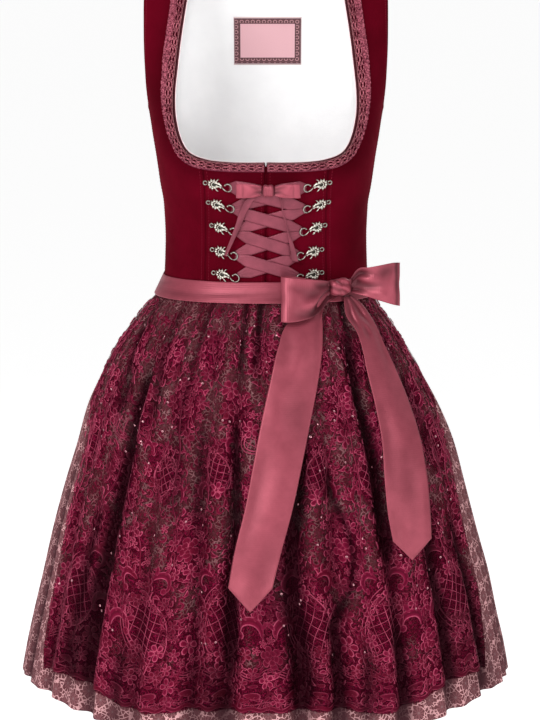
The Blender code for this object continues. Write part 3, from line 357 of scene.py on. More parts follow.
def grid_normals(places, towards=None):
    """Directions square to a grid of places. Its middle faces away from the wearer's
    middle, or else towards the direction given."""
    down, along = np.gradient(places, axis=0), np.gradient(places, axis=1)
    normals = unit(np.cross(along, down))
    middle = places.shape[0] // 2, places.shape[1] // 2
    towards = places[middle] * (1, 1, 0) if towards is None else np.array(towards)
    return normals if normals[middle] @ towards > 0 else -normals


def inwards(places, depth, towards=None):
    """A grid of places moved in by a depth, square to it."""
    return places - grid_normals(places, towards) * np.asarray(depth)[..., None]


def rows_of(start, end, count):
    """Even steps down a grid."""
    return np.linspace(start, end, count)[:, None]


def columns_of(start, end, count):
    """Even steps across a grid."""
    return np.linspace(start, end, count)[None, :]


def gaps(places, axis=0):
    """Distances between neighbouring places of a line or grid."""
    return np.linalg.norm(np.diff(places, axis=axis), axis=-1)


def running(steps):
    """The way covered up to each place, from the steps between the places."""
    return np.concatenate([np.zeros((*steps.shape[:-1], 1)), steps.cumsum(axis=-1)], axis=-1)


def new_mesh(name, places, faces, finish, marks):
    """A smooth mesh with values marked on its places."""
    mesh = bpy.data.meshes.new(name)
    mesh.from_pydata(places, [], faces)
    for title, values in marks.items():
        layer = mesh.attributes.new(title, "FLOAT", "POINT")
        layer.data.foreach_set("value", values)
    mesh.materials.append(finish.material)
    mesh.shade_smooth()
    return mesh


def cloth(name, places, finish, thickness, towards=None, cut=None, marks=None):
    """A thin shell of cloth over a grid of places, with its flat coordinates in metres
    and what is marked on it, such as how deep each place lies in a fold, from 0 to 1."""
    rows, columns = places.shape[:2]
    numbers = np.arange(rows * columns).reshape(rows, columns)
    corners = [numbers[:-1, :-1], numbers[:-1, 1:], numbers[1:, 1:], numbers[1:, :-1]]
    i, j = rows // 2, columns // 2
    square = np.cross(places[i, j] - places[i, j - 1], places[i, j] - places[i - 1, j])
    if square @ grid_normals(places, towards)[i, j] < 0:
        corners = corners[::-1]
    faces = np.stack(corners, axis=-1).reshape(-1, 4)
    if cut is None:
        u = running(gaps(places, 1).mean(axis=0))
        v = running(gaps(places).mean(axis=1))
        cut = np.stack(np.meshgrid(u - u[-1] / 2, v - v[-1] / 2), axis=-1)
    marks = {title: (values + np.zeros((rows, columns))).ravel()
             for title, values in (marks or {}).items()}
    mesh = new_mesh(name, places.reshape(-1, 3).tolist(), faces.tolist(), finish, marks)
    layer = mesh.uv_layers.new(name="cut")
    layer.data.foreach_set("uv", cut.reshape(-1, 2)[faces.ravel()].ravel())
    piece = placed(name, mesh)
    if thickness:
        thicken(piece, thickness)
    return piece


def thicken(piece, thickness):
    wall = piece.modifiers.new("thickness", "SOLIDIFY")
    wall.thickness, wall.offset = thickness, -1.0


def close(piece):
    """Joins the edges and poles of a grid that meets itself, and turns its faces out."""
    shape = bmesh.new()
    shape.from_mesh(piece.data)
    bmesh.ops.remove_doubles(shape, verts=shape.verts, dist=1e-6)
    bmesh.ops.recalc_face_normals(shape, faces=shape.faces)
    shape.to_mesh(piece.data)
    shape.free()
    piece.data.shade_smooth()


def fit(piece, slot, *nodes):
    """The piece stands for nodes of the source: it hangs from the root and the nodes are hidden. Its
    slot is not used.
    """
    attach(piece, "root")
    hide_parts(*nodes)


def smooth_edge(points, back=False):
    """A seam or edge as a smooth curve: angle and height at 0, 1, 2 and between."""
    angles = [float(angle_at(x, z, back)) for x, z in points]
    heights = [z for x, z in points]
    return lambda at: (through(range(len(points)), angles, at),
                       through(range(len(points)), heights, at))


def with_painted_shade(finish, colour, darkest):
    """The colour with painted shade: darkened towards the darkest colour by the valley mark, in folds,
    creases and the other places where shade falls.
    """
    return finish.blend(finish.mark("valley") * 0.92, colour, darkest)


velvet = Finish("burgundy velvet", Roughness=0.9, Sheen_Weight=0.09, Sheen_Roughness=0.3,
                Sheen_Tint=(1.0, 0.04, 0.12), Specular_IOR_Level=0.02)
nap = velvet.grain(13.0, 4.0, 0.6)
pile = velvet.grain(900.0, 2.0, 0.7)
brushed = velvet.node("ValToRGB", {"stops": [(0.32, (0.057, 0.0003, 0.0034)),
                                             (0.74, (0.11, 0.0009, 0.0084))]}, [nap])
brushed = velvet.blend(pile * 0.3, brushed, (0.14, 0.002, 0.012))
velvet.colour(with_painted_shade(velvet, brushed, (0.012, 0.0002, 0.001)))
velvet.bump(pile + nap * 3.0, 0.5 * MM, 0.35)

# Each panel: its inner and outer seams, their last row, and how late it rises outwards.
seam_lines = {
    part: (smooth_edge(inner, "back" in part), smooth_edge(outer, "back" in part), last, bow)
    for part, inner, outer, last, bow in (
        ("front_centre", CENTRE_LINE, FRONT_SEAM, NECK_CORNER, NECK_BOW),
        ("front_side", FRONT_SEAM, FRONT_ARM, len(FRONT_ARM) - 1, 1),
        ("back_centre", BACK_MIDDLE, BACK_SEAM, len(BACK_SEAM) - 1, 1),
        ("back_side", BACK_SEAM, BACK_ARM, len(BACK_ARM) - 1, 1))}


def panel_grid(part, side, across, at):
    """Angles and heights over a panel, at shares across it and rows of its seams."""
    inner, outer, last, bow = seam_lines[part]
    (angle_in, z_in), (angle_out, z_out) = inner(at[:, None]), outer(at[:, None])
    angle = side * (angle_in + (angle_out - angle_in) * across)
    return angle, z_in + (z_out - z_in) * across ** bow


PANEL_COLUMNS, ROWS_PER_STEP = 34, 5
EDGE_SHARE, OPENING_SHARE = 0.0002, 0.002      # cloth left off at a seam and at the opening
OPENING_ROLL, OPENING_WIDTH = 1.1 * MM, 3 * MM
SEAM_SHADE, SEAM_SHADE_WIDTH, TRIM_SHADE = 0.25, 1.4 * MM, 0.42
# Soft creases: angle, height, half length and width in millimetres, lean in degrees, and
# depth in millimetres.
BODICE_CREASES = [
    (22, -0.352, 26, 5, 12, 0.8), (-24, -0.349, 22, 5, -10, 0.7), (62, -0.345, 30, 6, 20, 1),
    (-64, -0.35, 34, 6, -18, 1), (78, -0.3, 24, 7, 30, 0.8), (-77, -0.296, 26, 7, -28, 0.8),
    (70, -0.215, 20, 5, -40, 0.8), (-71, -0.212, 22, 5, 38, 0.8), (128, -0.34, 30, 6, 15, 1),
    (-131, -0.336, 28, 6, -12, 0.9), (152, -0.3, 26, 7, 25, 0.7), (-149, -0.31, 24, 7, -22, 0.8),
    (112, -0.23, 22, 6, -35, 0.8), (-114, -0.226, 24, 6, 33, 0.8), (170, -0.352, 20, 5, 5, 0.6),
]
MM_PER_DEGREE = 1.85 * MM
BESIDE_TRIM, BESIDE_FADE = 12 * MM, 12 * MM


def turned(along, across, degrees):
    """x and y of places measured along and across a direction."""
    c, s = math.cos(math.radians(degrees)), math.sin(math.radians(degrees))
    return along * c - across * s, along * s + across * c


def creased(angle, z, creases, per_degree):
    """How far hand-placed soft creases sink a cloth, in metres."""
    depth = np.zeros(np.broadcast(angle, z).shape)
    for at, height, length, width, lean, deep in creases:
        along, across = turned((angle - at) * per_degree, z - height, -lean)
        depth += deep * MM * np.exp(-(along / (length * MM)) ** 2 - (across / (width * MM)) ** 2)
    return depth


panels = {}
for part, (_, _, last, _) in seam_lines.items():
    for side, hand in SIDES.items():
        first = OPENING_SHARE if part == "front_centre" else EDGE_SHARE
        across = columns_of(first, 1 - EDGE_SHARE, PANEL_COLUMNS)
        rows = np.linspace(0, last, last * ROWS_PER_STEP + 1)
        angle, z = panel_grid(part, side, across, rows)
        places = body(angle, z)
        width = np.linalg.norm(places[:, -1] - places[:, 0], axis=1)[:, None]
        from_seam = np.minimum(across, 1 - across) * width
        sunk = SEAM_ROLL * bell(from_seam, SEAM_ROLL_WIDTH)
        if part == "front_centre":
            sunk = sunk + OPENING_ROLL * bell(across * width, OPENING_WIDTH)
        sunk = sunk + creased(angle, z, BODICE_CREASES, MM_PER_DEGREE)
        places = inwards(places, sunk)
        top = z > -0.8 * MM
        places[top, 1] = np.where(np.cos(np.radians(angle[top])) > 0, -1, 1) * SEAM_GAP / 2
        node_name = f"bodice_{part}_{hand}"
        panels[node_name] = places
        shade = SEAM_SHADE * bell(from_seam, SEAM_SHADE_WIDTH)
        if part != "back_side":
            beside = neckline_distance(np.abs(places[..., 0]), z) - BESIDE_TRIM
            shade = shade + TRIM_SHADE * bell(np.maximum(beside, 0), BESIDE_FADE)
        panel = cloth(f"velvet_{part}_{hand}", places, velvet, VELVET,
                      marks={"valley": clipped(shade)})
        flat = (float(width.max()), float(abs(z[-1] - z[0]).max()) * 1.05)
        fit(panel, "velvet", node_name)


# Placket: a strip of the same velvet sewn behind the centre front edge, under the hooks
# and eyes that close it, so that the opening between the edges is dark.
PLACKET_HALF, PLACKET_BEHIND, PLACKET_TOP, PLACKET_LENGTH = 7 * MM, 2.2 * MM, -0.2425, 0.1445
x, z = columns_of(-1, 1, 9) * PLACKET_HALF, rows_of(WAIST, PLACKET_TOP, 30)
angle = angle_at(x, z)
places = body(angle, np.broadcast_to(z, angle.shape))
places = inwards(places, PLACKET_BEHIND)
placket = cloth("velvet_placket", places, velvet, 0.8 * MM)
fit(placket, "velvet", "bodice_front_centre_right", "bodice_front_centre_left")


# Back lining: one piece of white cotton inside the back, sewn into the neck edge, and
# the woven rose label sewn on it by its edges. The label is bare but for its border.
LINING, LINING_GAP, LINING_FLAT = 1.0 * MM, 1.2 * MM, 0.345
LABEL, LABEL_LIFT = 0.5 * MM, 0.8 * MM
LABEL_Z, LABEL_HEIGHT, LABEL_X, LABEL_WIDTH = -0.0838, 0.0566, 0.0018, 0.079
BORDER, RING_PITCH, RING_RADIUS, RING_LINE = 8 * MM, 6.4 * MM, 1.9 * MM, 0.5 * MM
LINING_CREASES = [
    (172, -0.14, 26, 5, 78, 0.7), (-158, -0.12, 30, 6, 70, 0.8), (150, -0.13, 34, 6, 102, 0.9),
    (-140, -0.18, 30, 7, 95, 0.9), (163, -0.2, 24, 5, 88, 0.6), (-170, -0.19, 22, 5, 99, 0.6),
    (128, -0.16, 28, 7, 82, 1), (-124, -0.15, 28, 7, 100, 1),
]

white_cotton = Finish("white lining cotton", Roughness=0.85, Sheen_Weight=0.15)
weave = white_cotton.weave(1100.0, 1.0)
wrinkle_with_shade = white_cotton.weave(30.0, 3.0)
# The soft wrinkles that bump the lining also darken its colour where they sink: painted shade in their
# hollows.
white_cotton.colour(white_cotton.blend(wrinkle_with_shade, (0.84, 0.84, 0.85), (0.94, 0.94, 0.94)))
white_cotton.bump(wrinkle_with_shade * 6.0 + weave, 0.4 * MM, 0.5)

rows, across = np.linspace(0, BACK_NECK, 61), columns_of(0, 1, 22)
halves = []
for side in (LEFT, RIGHT):
    inner, outer = (panel_grid(part, side, across, rows) for part in ("back_centre", "back_side"))
    halves.append([np.concatenate([a, b[:, 1:]], axis=1) for a, b in zip(inner, outer)])
angle, z = (np.concatenate([left[:, ::-1], right[:, 1:]], axis=1) for left, right in zip(*halves))
places = body(angle, z)
inset = VELVET + LINING_GAP + creased(angle, z, LINING_CREASES, MM_PER_DEGREE)
places = inwards(places, inset)
lining = cloth("lining_cotton", places, white_cotton, LINING)
fit(lining, "lining", "lining_back")


def length_of(x, y):
    """Distance from the origin, as a socket."""
    return (x * x + y * y).maths("SQRT")


rose_label = Finish("woven rose label", Roughness=0.8, Specular_IOR_Level=0.05)
across, down = rose_label.split(rose_label.cut())
edge_x = LABEL_WIDTH / 2 - across.maths("ABSOLUTE")
edge_y = LABEL_HEIGHT / 2 - down.maths("ABSOLUTE")
from_edge = edge_x.maths("MINIMUM", edge_y)
threads = rose_label.weave(1500.0, 1.0)
ring_x = (across + 1.0 * MM) % RING_PITCH - RING_PITCH / 2
ring_y = (down + 0.5 * MM) % RING_PITCH - RING_PITCH / 2
rings = length_of(ring_x, ring_y).maths("COMPARE", RING_RADIUS, RING_LINE)
border = rose_label.blend(rings * (from_edge > 1.8 * MM), (0.072, 0.02, 0.027), (0.36, 0.175, 0.19))
shade = rose_label.blend(from_edge > 6.8 * MM, border, (0.05, 0.008, 0.013))
shade = rose_label.blend(from_edge > BORDER, shade, (0.66, 0.36, 0.4))
shade = rose_label.blend(from_edge < 1.0 * MM, shade, (0.6, 0.46, 0.47))
light_warp = threads * (0.13 + 0.17 * (from_edge > BORDER))
rose_label.colour(rose_label.blend(light_warp, shade, (0.85, 0.62, 0.64)))
rose_label.bump(threads, 0.2 * MM, 0.4)

x = LABEL_X + LABEL_WIDTH * columns_of(-0.5, 0.5, 41)
z = LABEL_Z - LABEL_HEIGHT * rows_of(0, 1, 29)
places = body(angle_at(x, z, True), np.broadcast_to(z, (29, 41)))
places = inwards(places, VELVET + LINING_GAP + LINING + LABEL_LIFT)
label = cloth("woven_label", places, rose_label, LABEL, towards=(0, -1, 0))
fit(label, "label", "label")


# Lacing: a flat satin ribbon that crosses four times between the five pairs of hooks,
# pleated where it runs through each eye, then up to the small bow.
LACE_WIDTH, LACE_END, SATIN = 14 * MM, 3 * MM, 0.6 * MM
LACE_LIFT, LACE_OVER = 1.9 * MM, 1.7 * MM
LACE_SPREAD, INTO_EYE = 1.9 * MM, 1.6 * MM
LACE_FAN, LACE_PLEATED = 0.2, 0.1        # shares of a stretch that fan out and lie pleated
PLEAT_DEEP, PLEATS, LACE_CURL = 0.55 * MM, 3.5, 0.35 * MM

# Hooks for the lacing: height, distance of each rosette from the centre front, and tilt.
Hook = namedtuple("Hook", "z right left tilt")
HOOKS = [Hook(*row) for row in (
    (-0.2636, 0.0575, 0.0613, 3.0), (-0.2862, 0.0544, 0.0604, 3.0), (-0.3125, 0.0511, 0.0566, 4.0),
    (-0.3402, 0.0507, 0.0534, 6.0), (-0.366, 0.0492, 0.0535, 4.0))]
HOOK_PLATE, HOOK_GAP, EYE_AT = 1.5 * MM, 0.9 * MM, 16.5 * MM


def satin_finish(name, dark, light):
    """Satin ribbon: fine ribs across it, and soft wide lights on its folds."""
    finish = Finish(name, Metallic=0.4, Roughness=0.44, Sheen_Weight=0.08, Sheen_Roughness=0.4,
                    Sheen_Tint=(1.0, 0.55, 0.62), Specular_IOR_Level=0.5)
    slub = finish.grain(60.0, 3.0, 0.6)
    ribs = finish.split(finish.cut(2600.0))[1].maths("SINE")
    tone = finish.blend((slub - 0.14) * 1.5, dark, light)
    finish.colour(with_painted_shade(finish, tone, (0.06, 0.003, 0.009)))
    finish.bump(ribs * 0.35 + slub * 1.5, 0.12 * MM, 0.5)
    return finish


satin = satin_finish("dusty rose satin", (0.29, 0.044, 0.07), (0.41, 0.072, 0.108))
lace_satin = satin_finish("mauve lacing satin", (0.15, 0.023, 0.04), (0.29, 0.052, 0.083))


def hook_frame(side, row):
    """Matrix of a hook: x runs from its rosette to the eye at the centre front."""
    x = row.right if side == RIGHT else row.left
    angle = side * float(angle_at(x, row.z))
    normal = Vector(facing(body, np.array(angle), np.array(row.z)))
    place = Vector(body(angle, row.z))
    tilt = math.radians(row.tilt)
    inwards = Vector((-side, 0, 0)) * math.cos(tilt) + Vector((0, 0, -1)) * math.sin(tilt)
    axis_x = (inwards - normal * inwards.dot(normal)).normalized()
    turn = Matrix((axis_x, normal.cross(axis_x), normal)).transposed().to_4x4()
    return Matrix.Translation(place + normal * (HOOK_GAP + HOOK_PLATE / 2)) @ turn


def on_front(x, z, out):
    """Places over the bodice front."""
    angle = angle_at(x, z)
    z = np.broadcast_to(z, angle.shape)
    return body(angle, z) + facing(body, angle, z) * np.asarray(out)[..., None]


def lace_end(side, number, drop):
    """Where a stretch of lacing meets its eye, above or below the eye's middle."""
    centre = hook_frame(side, HOOKS[number]) @ Vector((EYE_AT, 0, 0))
    return np.array((centre.x - side * INTO_EYE, centre.z + drop))


def ribbon(name, places, look, shade, towards=None, thickness=SATIN):
    """A piece of ribbon, which stands for the source's node of that name."""
    piece = cloth("ribbon_" + name, places, look, thickness, towards, marks={"valley": shade})
    fit(piece, "satin", name)


def stretch(name, start, end, width, over, ends, stays_up=False):
    """A flat stretch of lacing between two (x, z) places on the bodice front."""
    run = (end - start) / np.hypot(*(end - start))
    across = np.array((-run[1], run[0])) * (-1 if run[0] > 0 else 1)
    t, w = rows_of(0, 1, 41), columns_of(-1, 1, 13)
    arch = np.sin(np.pi * t)
    half = (ends[0] + (ends[1] - ends[0]) * t) / 2
    half = half + (width / 2 - half) * clipped(np.minimum(t, 1 - t) / LACE_FAN) ** 0.8
    middle = start + (end - start) * t
    rise = np.minimum(1.0, 4 * t) if stays_up else np.minimum(1.0, 1.3 * arch)
    near_end = np.exp(-np.minimum(t, 1 - t) / LACE_PLEATED)
    pleats = PLEAT_DEEP * near_end * np.cos(PLEATS * np.pi * w)
    curl = LACE_CURL * (1 - near_end) * (np.abs(w) ** 4 - 0.6 * w * np.sin(3 * np.pi * t))
    lift = LACE_LIFT + over * rise + pleats - curl
    places = on_front(middle[:, :1] + across[0] * half * w, middle[:, 1:] + across[1] * half * w, lift)
    shade = 0.55 * near_end * (0.6 - 0.4 * np.cos(PLEATS * np.pi * w)) + 0.12 * np.abs(w) ** 8
    ribbon(name, places, lace_satin, shade)


for i in range(4):
    for layer, side, over in (("over", RIGHT, LACE_OVER), ("under", LEFT, 0.0)):
        stretch(f"lacing_{layer}_{i + 1}", lace_end(side, i, -LACE_SPREAD),
                lace_end(-side, i + 1, LACE_SPREAD), LACE_WIDTH, over, (LACE_END, LACE_END))


# Small bow over the first pair of hooks: the same ribbon in two flat loops through a
# knot, with two twisted hanging ends.
KNOT_X, KNOT_Z, KNOT_HALF, KNOT_HEIGHT = 2.6 * MM, -0.268, 6.5 * MM, 12 * MM
KNOT_OUT, KNOT_BULGE, KNOT_THICKNESS = 11.2 * MM, 2.0 * MM, 6 * MM
LACE_TOP_WIDTH, LACE_TOP_END, LACE_TOP_OVER, LACE_TOP_GAP = 11.2 * MM, 9 * MM, 4.4 * MM, 1.6 * MM
LACE_TAIL_LIFT, LACE_TAIL, KNOT_CLEAR = 7.4 * MM, 0.35 * MM, 0.3 * MM
TAIL_CURL, TAIL_TURNS, TAIL_PHASE, KNOT_PLEAT, KNOT_PLEATS = 1.1 * MM, 2.2, 0.8, 0.3 * MM, 11
LOOP_PLEAT, LOOP_PLEATED, LOOP_SHADED = 0.6 * MM, 7 * MM, 4 * MM
# A loop runs out and back: reach from the knot, distance off the bodice and height.
LACE_LOOP = np.array([
    (0, 10.4, 8.5), (8, 11.4, 11), (18, 11.4, 12.4), (25.5, 10.4, 12.8), (27.5, 9.2, 12.8),
    (25.5, 7.8, 12.6), (18, 7.6, 11.6), (8, 7.6, 10), (0, 7.8, 7.5),
]) * MM
# Creases of the loops: percent of the way round, height, length, width, lean and depth.
LACE_CREASES = [
    (6, -0.001, 8, 1.2, 4, 0.9), (12, 0.0026, 12, 1.4, 9, 0.7), (36, 0, 1.6, 8, 0, 0.7),
    (20, -0.0032, 9, 1.5, -12, 0.6), (27, 0.001, 7, 2.4, 20, -0.6),
]
# The hanging ends: x, height below the shoulder and width, in millimetres.
LACE_TAIL_RIGHT = np.array([(-7.0, 272.5, 8), (-16.5, 277.0, 9), (-22.5, 287.0, 8.5),
                            (-28.0, 303.0, 6.6), (-35.5, 323.0, 4.6), (-43.5, 342.5, 3.2)]) * MM
LACE_TAIL_LEFT = np.array([(7.6, 270.5, 2.2), (14.5, 275.0, 1.6), (18.0, 290.0, 1.5),
                           (22.5, 308.0, 1.8), (27.5, 329.0, 4.4), (31.5, 349.0, 7.0)]) * MM


def flowing(knots, count, spread_over=None):
    """Values along a smooth curve through the knots, evenly spread by their places."""
    s = running(gaps(knots[:, :spread_over]))
    slopes = np.gradient(knots, s, axis=0)
    at = np.linspace(0, s[-1], count)
    i = np.clip(np.searchsorted(s, at, side="right") - 1, 0, len(s) - 2)
    span = (s[i + 1] - s[i])[:, None]
    return between_knots(knots, slopes, i, span, (at - s[i])[:, None] / span)


for side, hand in SIDES.items():
    start = KNOT_X + side * (KNOT_HALF + KNOT_CLEAR)
    reach, out, height = flowing(LACE_LOOP, 61, 2).T[..., None]
    w = columns_of(0.5, -0.5, 13)
    crease = creased(rows_of(0, 100, 61), height * w, LACE_CREASES, MM)
    pleats = LOOP_PLEAT * np.exp(-reach / LOOP_PLEATED) * np.cos(5 * np.pi * w + side)
    places = on_front(start + side * reach + 0 * w, KNOT_Z + height * w, out + pleats - crease)
    shade = clipped(0.7 * np.exp(-reach / LOOP_SHADED) + crease / (1.6 * MM))
    ribbon("lace_loop_" + hand, places, satin, shade, (side, 0, 0))
    stretch(f"lacing_top_{hand}", lace_end(side, 0, LACE_SPREAD),
            np.array((start + side * LACE_TOP_GAP, KNOT_Z)), LACE_TOP_WIDTH, LACE_TOP_OVER,
            (LACE_END, LACE_TOP_END), stays_up=True)

# The knot, round it (turn) and along it (t): drawn in at its waist and closed at both ends.
turn, t = rows_of(0, 2 * np.pi, 49), np.sin(np.pi / 2 * columns_of(-1, 1, 25))
full = (1 - 0.18 * (1 - np.abs(t)) ** 2) * np.sqrt(np.maximum(1 - np.abs(t) ** 5, 0))
height = KNOT_HEIGHT / 2 * np.sign(np.sin(turn)) * np.abs(np.sin(turn)) ** 0.7 * full
deep = (KNOT_THICKNESS + KNOT_BULGE) / 2
pleats = np.cos(KNOT_PLEATS * t + 1.5 * np.sin(turn))
out = KNOT_OUT - KNOT_THICKNESS + deep + deep * np.cos(turn) * full + KNOT_PLEAT * pleats * full
places = on_front(KNOT_X + KNOT_HALF * t + 0 * turn, KNOT_Z + height, out)
shade = 0.18 + 0.55 * np.abs(t) ** 4 + 0.25 * pleats ** 2
knot = cloth("ribbon_lace_knot", places, satin, 0.0, towards=(0, -1, 0), marks={"valley": shade})
close(knot)
fit(knot, "satin", "lace_knot")

for hand, table in (("right", LACE_TAIL_RIGHT), ("left", LACE_TAIL_LEFT)):
    x, down, width = flowing(table, 61, 2).T[..., None]
    w = columns_of(-0.5, 0.5, 9)
    twist = w * np.sin(TAIL_TURNS * np.pi * rows_of(0, 1, 61) + TAIL_PHASE)
    places = on_front(x + width * w, -down + 0 * w, LACE_TAIL_LIFT + TAIL_CURL * twist)
    shade = np.clip(0.5 - 2.0 * twist, 0, 0.9) * 0.45
    ribbon("lace_tail_" + hand, places, lace_satin, shade, thickness=LACE_TAIL)


# Waist ribbon: wide satin ribbon folded in half and tied round the waist over the
# gathers, in a front and a back length, with soft creases that run into the bow.
RIBBON_TOP, RIBBON_BOTTOM, RIBBON_FOLDED = -0.373, -0.3955, 0.025
RIBBON_OUT_TOP, RIBBON_OUT_BOTTOM = 1.8 * MM, 4.2 * MM
RIBBON_WAVE, RIBBON_PER_DEGREE = 0.5 * MM, 1.9 * MM
SKIRT_ROUNDNESS, ROUNDNESS_FALL = 2.0, 0.114
# The skirt: half widths, depths, and the angle of the apron's edge.
Skirt = namedtuple("Skirt", "z right left front back edge")
SKIRT = [Skirt(*row) for row in (
    (WAIST, 0.1165, 0.1165, 0.0885, 0.083, 94), (-0.3965, 0.1235, 0.1215, 0.097, 0.09, 94),
    (-0.411, 0.1375, 0.129, 0.1075, 0.1, 94), (-0.43, 0.152, 0.143, 0.12, 0.112, 93),
    (-0.455, 0.17, 0.1585, 0.133, 0.125, 92), (-0.485, 0.186, 0.1765, 0.145, 0.137, 87),
    (-0.525, 0.205, 0.199, 0.1575, 0.15, 78), (-0.57, 0.2178, 0.218, 0.17, 0.164, 72),
    (-0.616, 0.2322, 0.2306, 0.181, 0.176, 69), (-0.67, 0.247, 0.245, 0.192, 0.188, 67.5),
    (-0.725, 0.2598, 0.2605, 0.204, 0.2, 66.7), (-0.77, 0.2708, 0.27, 0.212, 0.209, 65.5),
    (-0.81, 0.2797, 0.2795, 0.219, 0.216, 64), (-0.853, 0.2875, 0.287, 0.225, 0.223, 63))]
RIBBON_CREASES = [
    (36, -0.379, 26, 3.4, 8, 0.9), (37, -0.3865, 30, 3.6, -3, 1), (34, -0.392, 24, 3, -9, 0.6),
    (66, -0.38, 20, 3.2, -8, 0.8), (68, -0.387, 24, 3.4, 6, 0.8), (-20, -0.386, 60, 3.6, 2, 0.7),
    (-58, -0.388, 46, 4, -3, 0.7), (-75, -0.38, 34, 3.4, 4, 0.6), (8, -0.3895, 30, 3.2, 3, 0.6),
    (120, -0.384, 44, 3.8, 3, 0.7), (160, -0.38, 40, 3.6, -3, 0.6), (190, -0.388, 46, 3.8, 2, 0.7),
    (235, -0.382, 44, 3.6, -3, 0.7), (205, -0.379, 30, 3.2, 4, 0.5),
]


def ribbon_face(angle, z):
    """Outer face of the waist ribbon, from the bodice out over the gathers."""
    half = float(read(BODY, RIBBON_TOP, "half")) + RIBBON_OUT_TOP
    depths = [float(read(BODY, RIBBON_TOP, part)) + RIBBON_OUT_TOP for part in ("front", "back")]
    top = section(angle, (half, half), depths, ROUNDNESS)
    low, out = RIBBON_BOTTOM - 1 * MM, RIBBON_OUT_BOTTOM
    right, left, front, back = (float(read(SKIRT, low, part)) + out
                                for part in ("right", "left", "front", "back"))
    bottom = section(angle, (right, left), (front, back), ROUNDNESS)
    t = (RIBBON_TOP - z) / (RIBBON_TOP - RIBBON_BOTTOM)
    return np.stack([top[0] + (bottom[0] - top[0]) * t, top[1] + (bottom[1] - top[1]) * t,
                     z + 0 * angle], axis=-1)


for part, low in (("front", -90), ("back", 90)):
    angle = columns_of(low + 0.1, low + 179.9, 181)
    z = rows_of(RIBBON_BOTTOM, RIBBON_TOP, 25)
    places = ribbon_face(angle, z)
    sunk = creased(angle, z, RIBBON_CREASES, RIBBON_PER_DEGREE)
    rise = (z - RIBBON_BOTTOM) / (RIBBON_TOP - RIBBON_BOTTOM)
    fold = RIBBON_WAVE * np.sin(np.radians(angle * 5.0)) * rise
    places = inwards(places, sunk + np.abs(fold))
    # Painted shade: the ribbon is darkened in its creases, by how deep they sink.
    piece = cloth("ribbon_waist_" + part, places, satin, SATIN,
                  marks={"valley": np.clip(sunk / (2.4 * MM), 0, 0.6)})
    fit(piece, "satin", "waist_ribbon_" + part)


# Skirt: printed cotton in a front and a back width, gathered into the waist by running
# stitches and hanging in soft uneven folds to a turned hem.
SKIRT_CLOTH, SKIRT_FLAT, SKIRT_SHOWN = 1.2 * MM, (0.97, 0.49), 0.4
FOLD_TOP, FOLD_MID, HEM = -0.402, -0.56, -0.853
# Heights of the hems at angles from the front, on either side.
Hems = namedtuple("Hems", "angle skirt apron")
HEMS = [Hems(*row) for row in (
    (0, HEM, -0.828), (17, HEM, -0.829), (28, HEM, -0.836), (35, HEM, -0.831),
    (41, -0.852, -0.8205), (47, -0.848, -0.8145), (54, -0.843, -0.811), (66, -0.838, -0.813),
    (80, -0.838, -0.813), (130, -0.843, -0.813), (180, -0.845, -0.813))]
# Valleys between the gathers: angle, and depth in millimetres below the waist, at the
# height of the bow's ends and at the hem.
FRONT_FOLDS = [
    (-84, 3, 2, 3), (-76.5, 3, 5, 10), (-69, 3.4, 2, 2), (-61.5, 4, 6, 14), (-53, 3, 3, 4),
    (-45, 4.2, 13, 17), (-37.5, 3, 2, 2), (-31, 3.6, 4, 12), (-24, 3, 2, 2), (-17, 4.2, 6, 16),
    (-8.5, 3.6, 8, 18), (-0.5, 3, 2, 3), (8, 4.2, 9, 19), (17.5, 3.2, 7, 16), (25.5, 3, 2, 2),
    (33.5, 5, 15, 12), (40.5, 3, 2, 2), (47.5, 3.6, 4, 15), (55, 3, 2, 3), (62, 3.8, 6, 14),
    (69, 3.2, 2, 2), (76.5, 4, 5, 10), (84, 3, 2, 3),
]
BACK_GATHERS = 24
back_folds = []
for i in range(BACK_GATHERS):
    deep = 1.0 if i % 2 else 0.12
    back_folds.append((94 + i * 172 / (BACK_GATHERS - 1) + 1.2 * math.sin(2.6 * i),
                       3.4 + 0.7 * math.sin(3.1 * i), 2 + deep * (6 + 4 * math.sin(2.7 * i + 1)),
                       2 + deep * (13 + 5 * math.sin(1.9 * i))))
FOLDS = np.array(FRONT_FOLDS + back_folds + [FRONT_FOLDS[0]])
FOLDS[-1, 0] += 360


def fold_share(angle):
    """The nearest valley at each angle, and 1 in its middle to 0 on its crests."""
    turn = (angle - FOLDS[0, 0]) % 360 + FOLDS[0, 0]
    i = np.clip(np.searchsorted(FOLDS[:, 0], turn, side="right") - 1, 0, len(FOLDS) - 2)
    crest = (FOLDS[i, 0] + FOLDS[i + 1, 0]) / 2
    near = np.where(turn > crest, i + 1, i)
    return near, (1 + np.cos(np.pi * (turn - FOLDS[near, 0]) / (crest - FOLDS[near, 0]))) / 2


def fold_depth(angle, z):
    """Depth of the gathers under the crests, in metres."""
    near, share = fold_share(angle)
    top, middle, low = FOLDS[near, 1], FOLDS[near, 2], FOLDS[near, 3]
    above = top * (WAIST - z) / (WAIST - FOLD_TOP)
    upper = top + (middle - top) * (FOLD_TOP - z) / (FOLD_TOP - FOLD_MID)
    lower = middle + (low - middle) * (FOLD_MID - z) / (FOLD_MID - HEM)
    depth = np.where(z > FOLD_TOP, above, np.where(z > FOLD_MID, upper, lower))
    return np.maximum(depth, 0.0) * share * MM
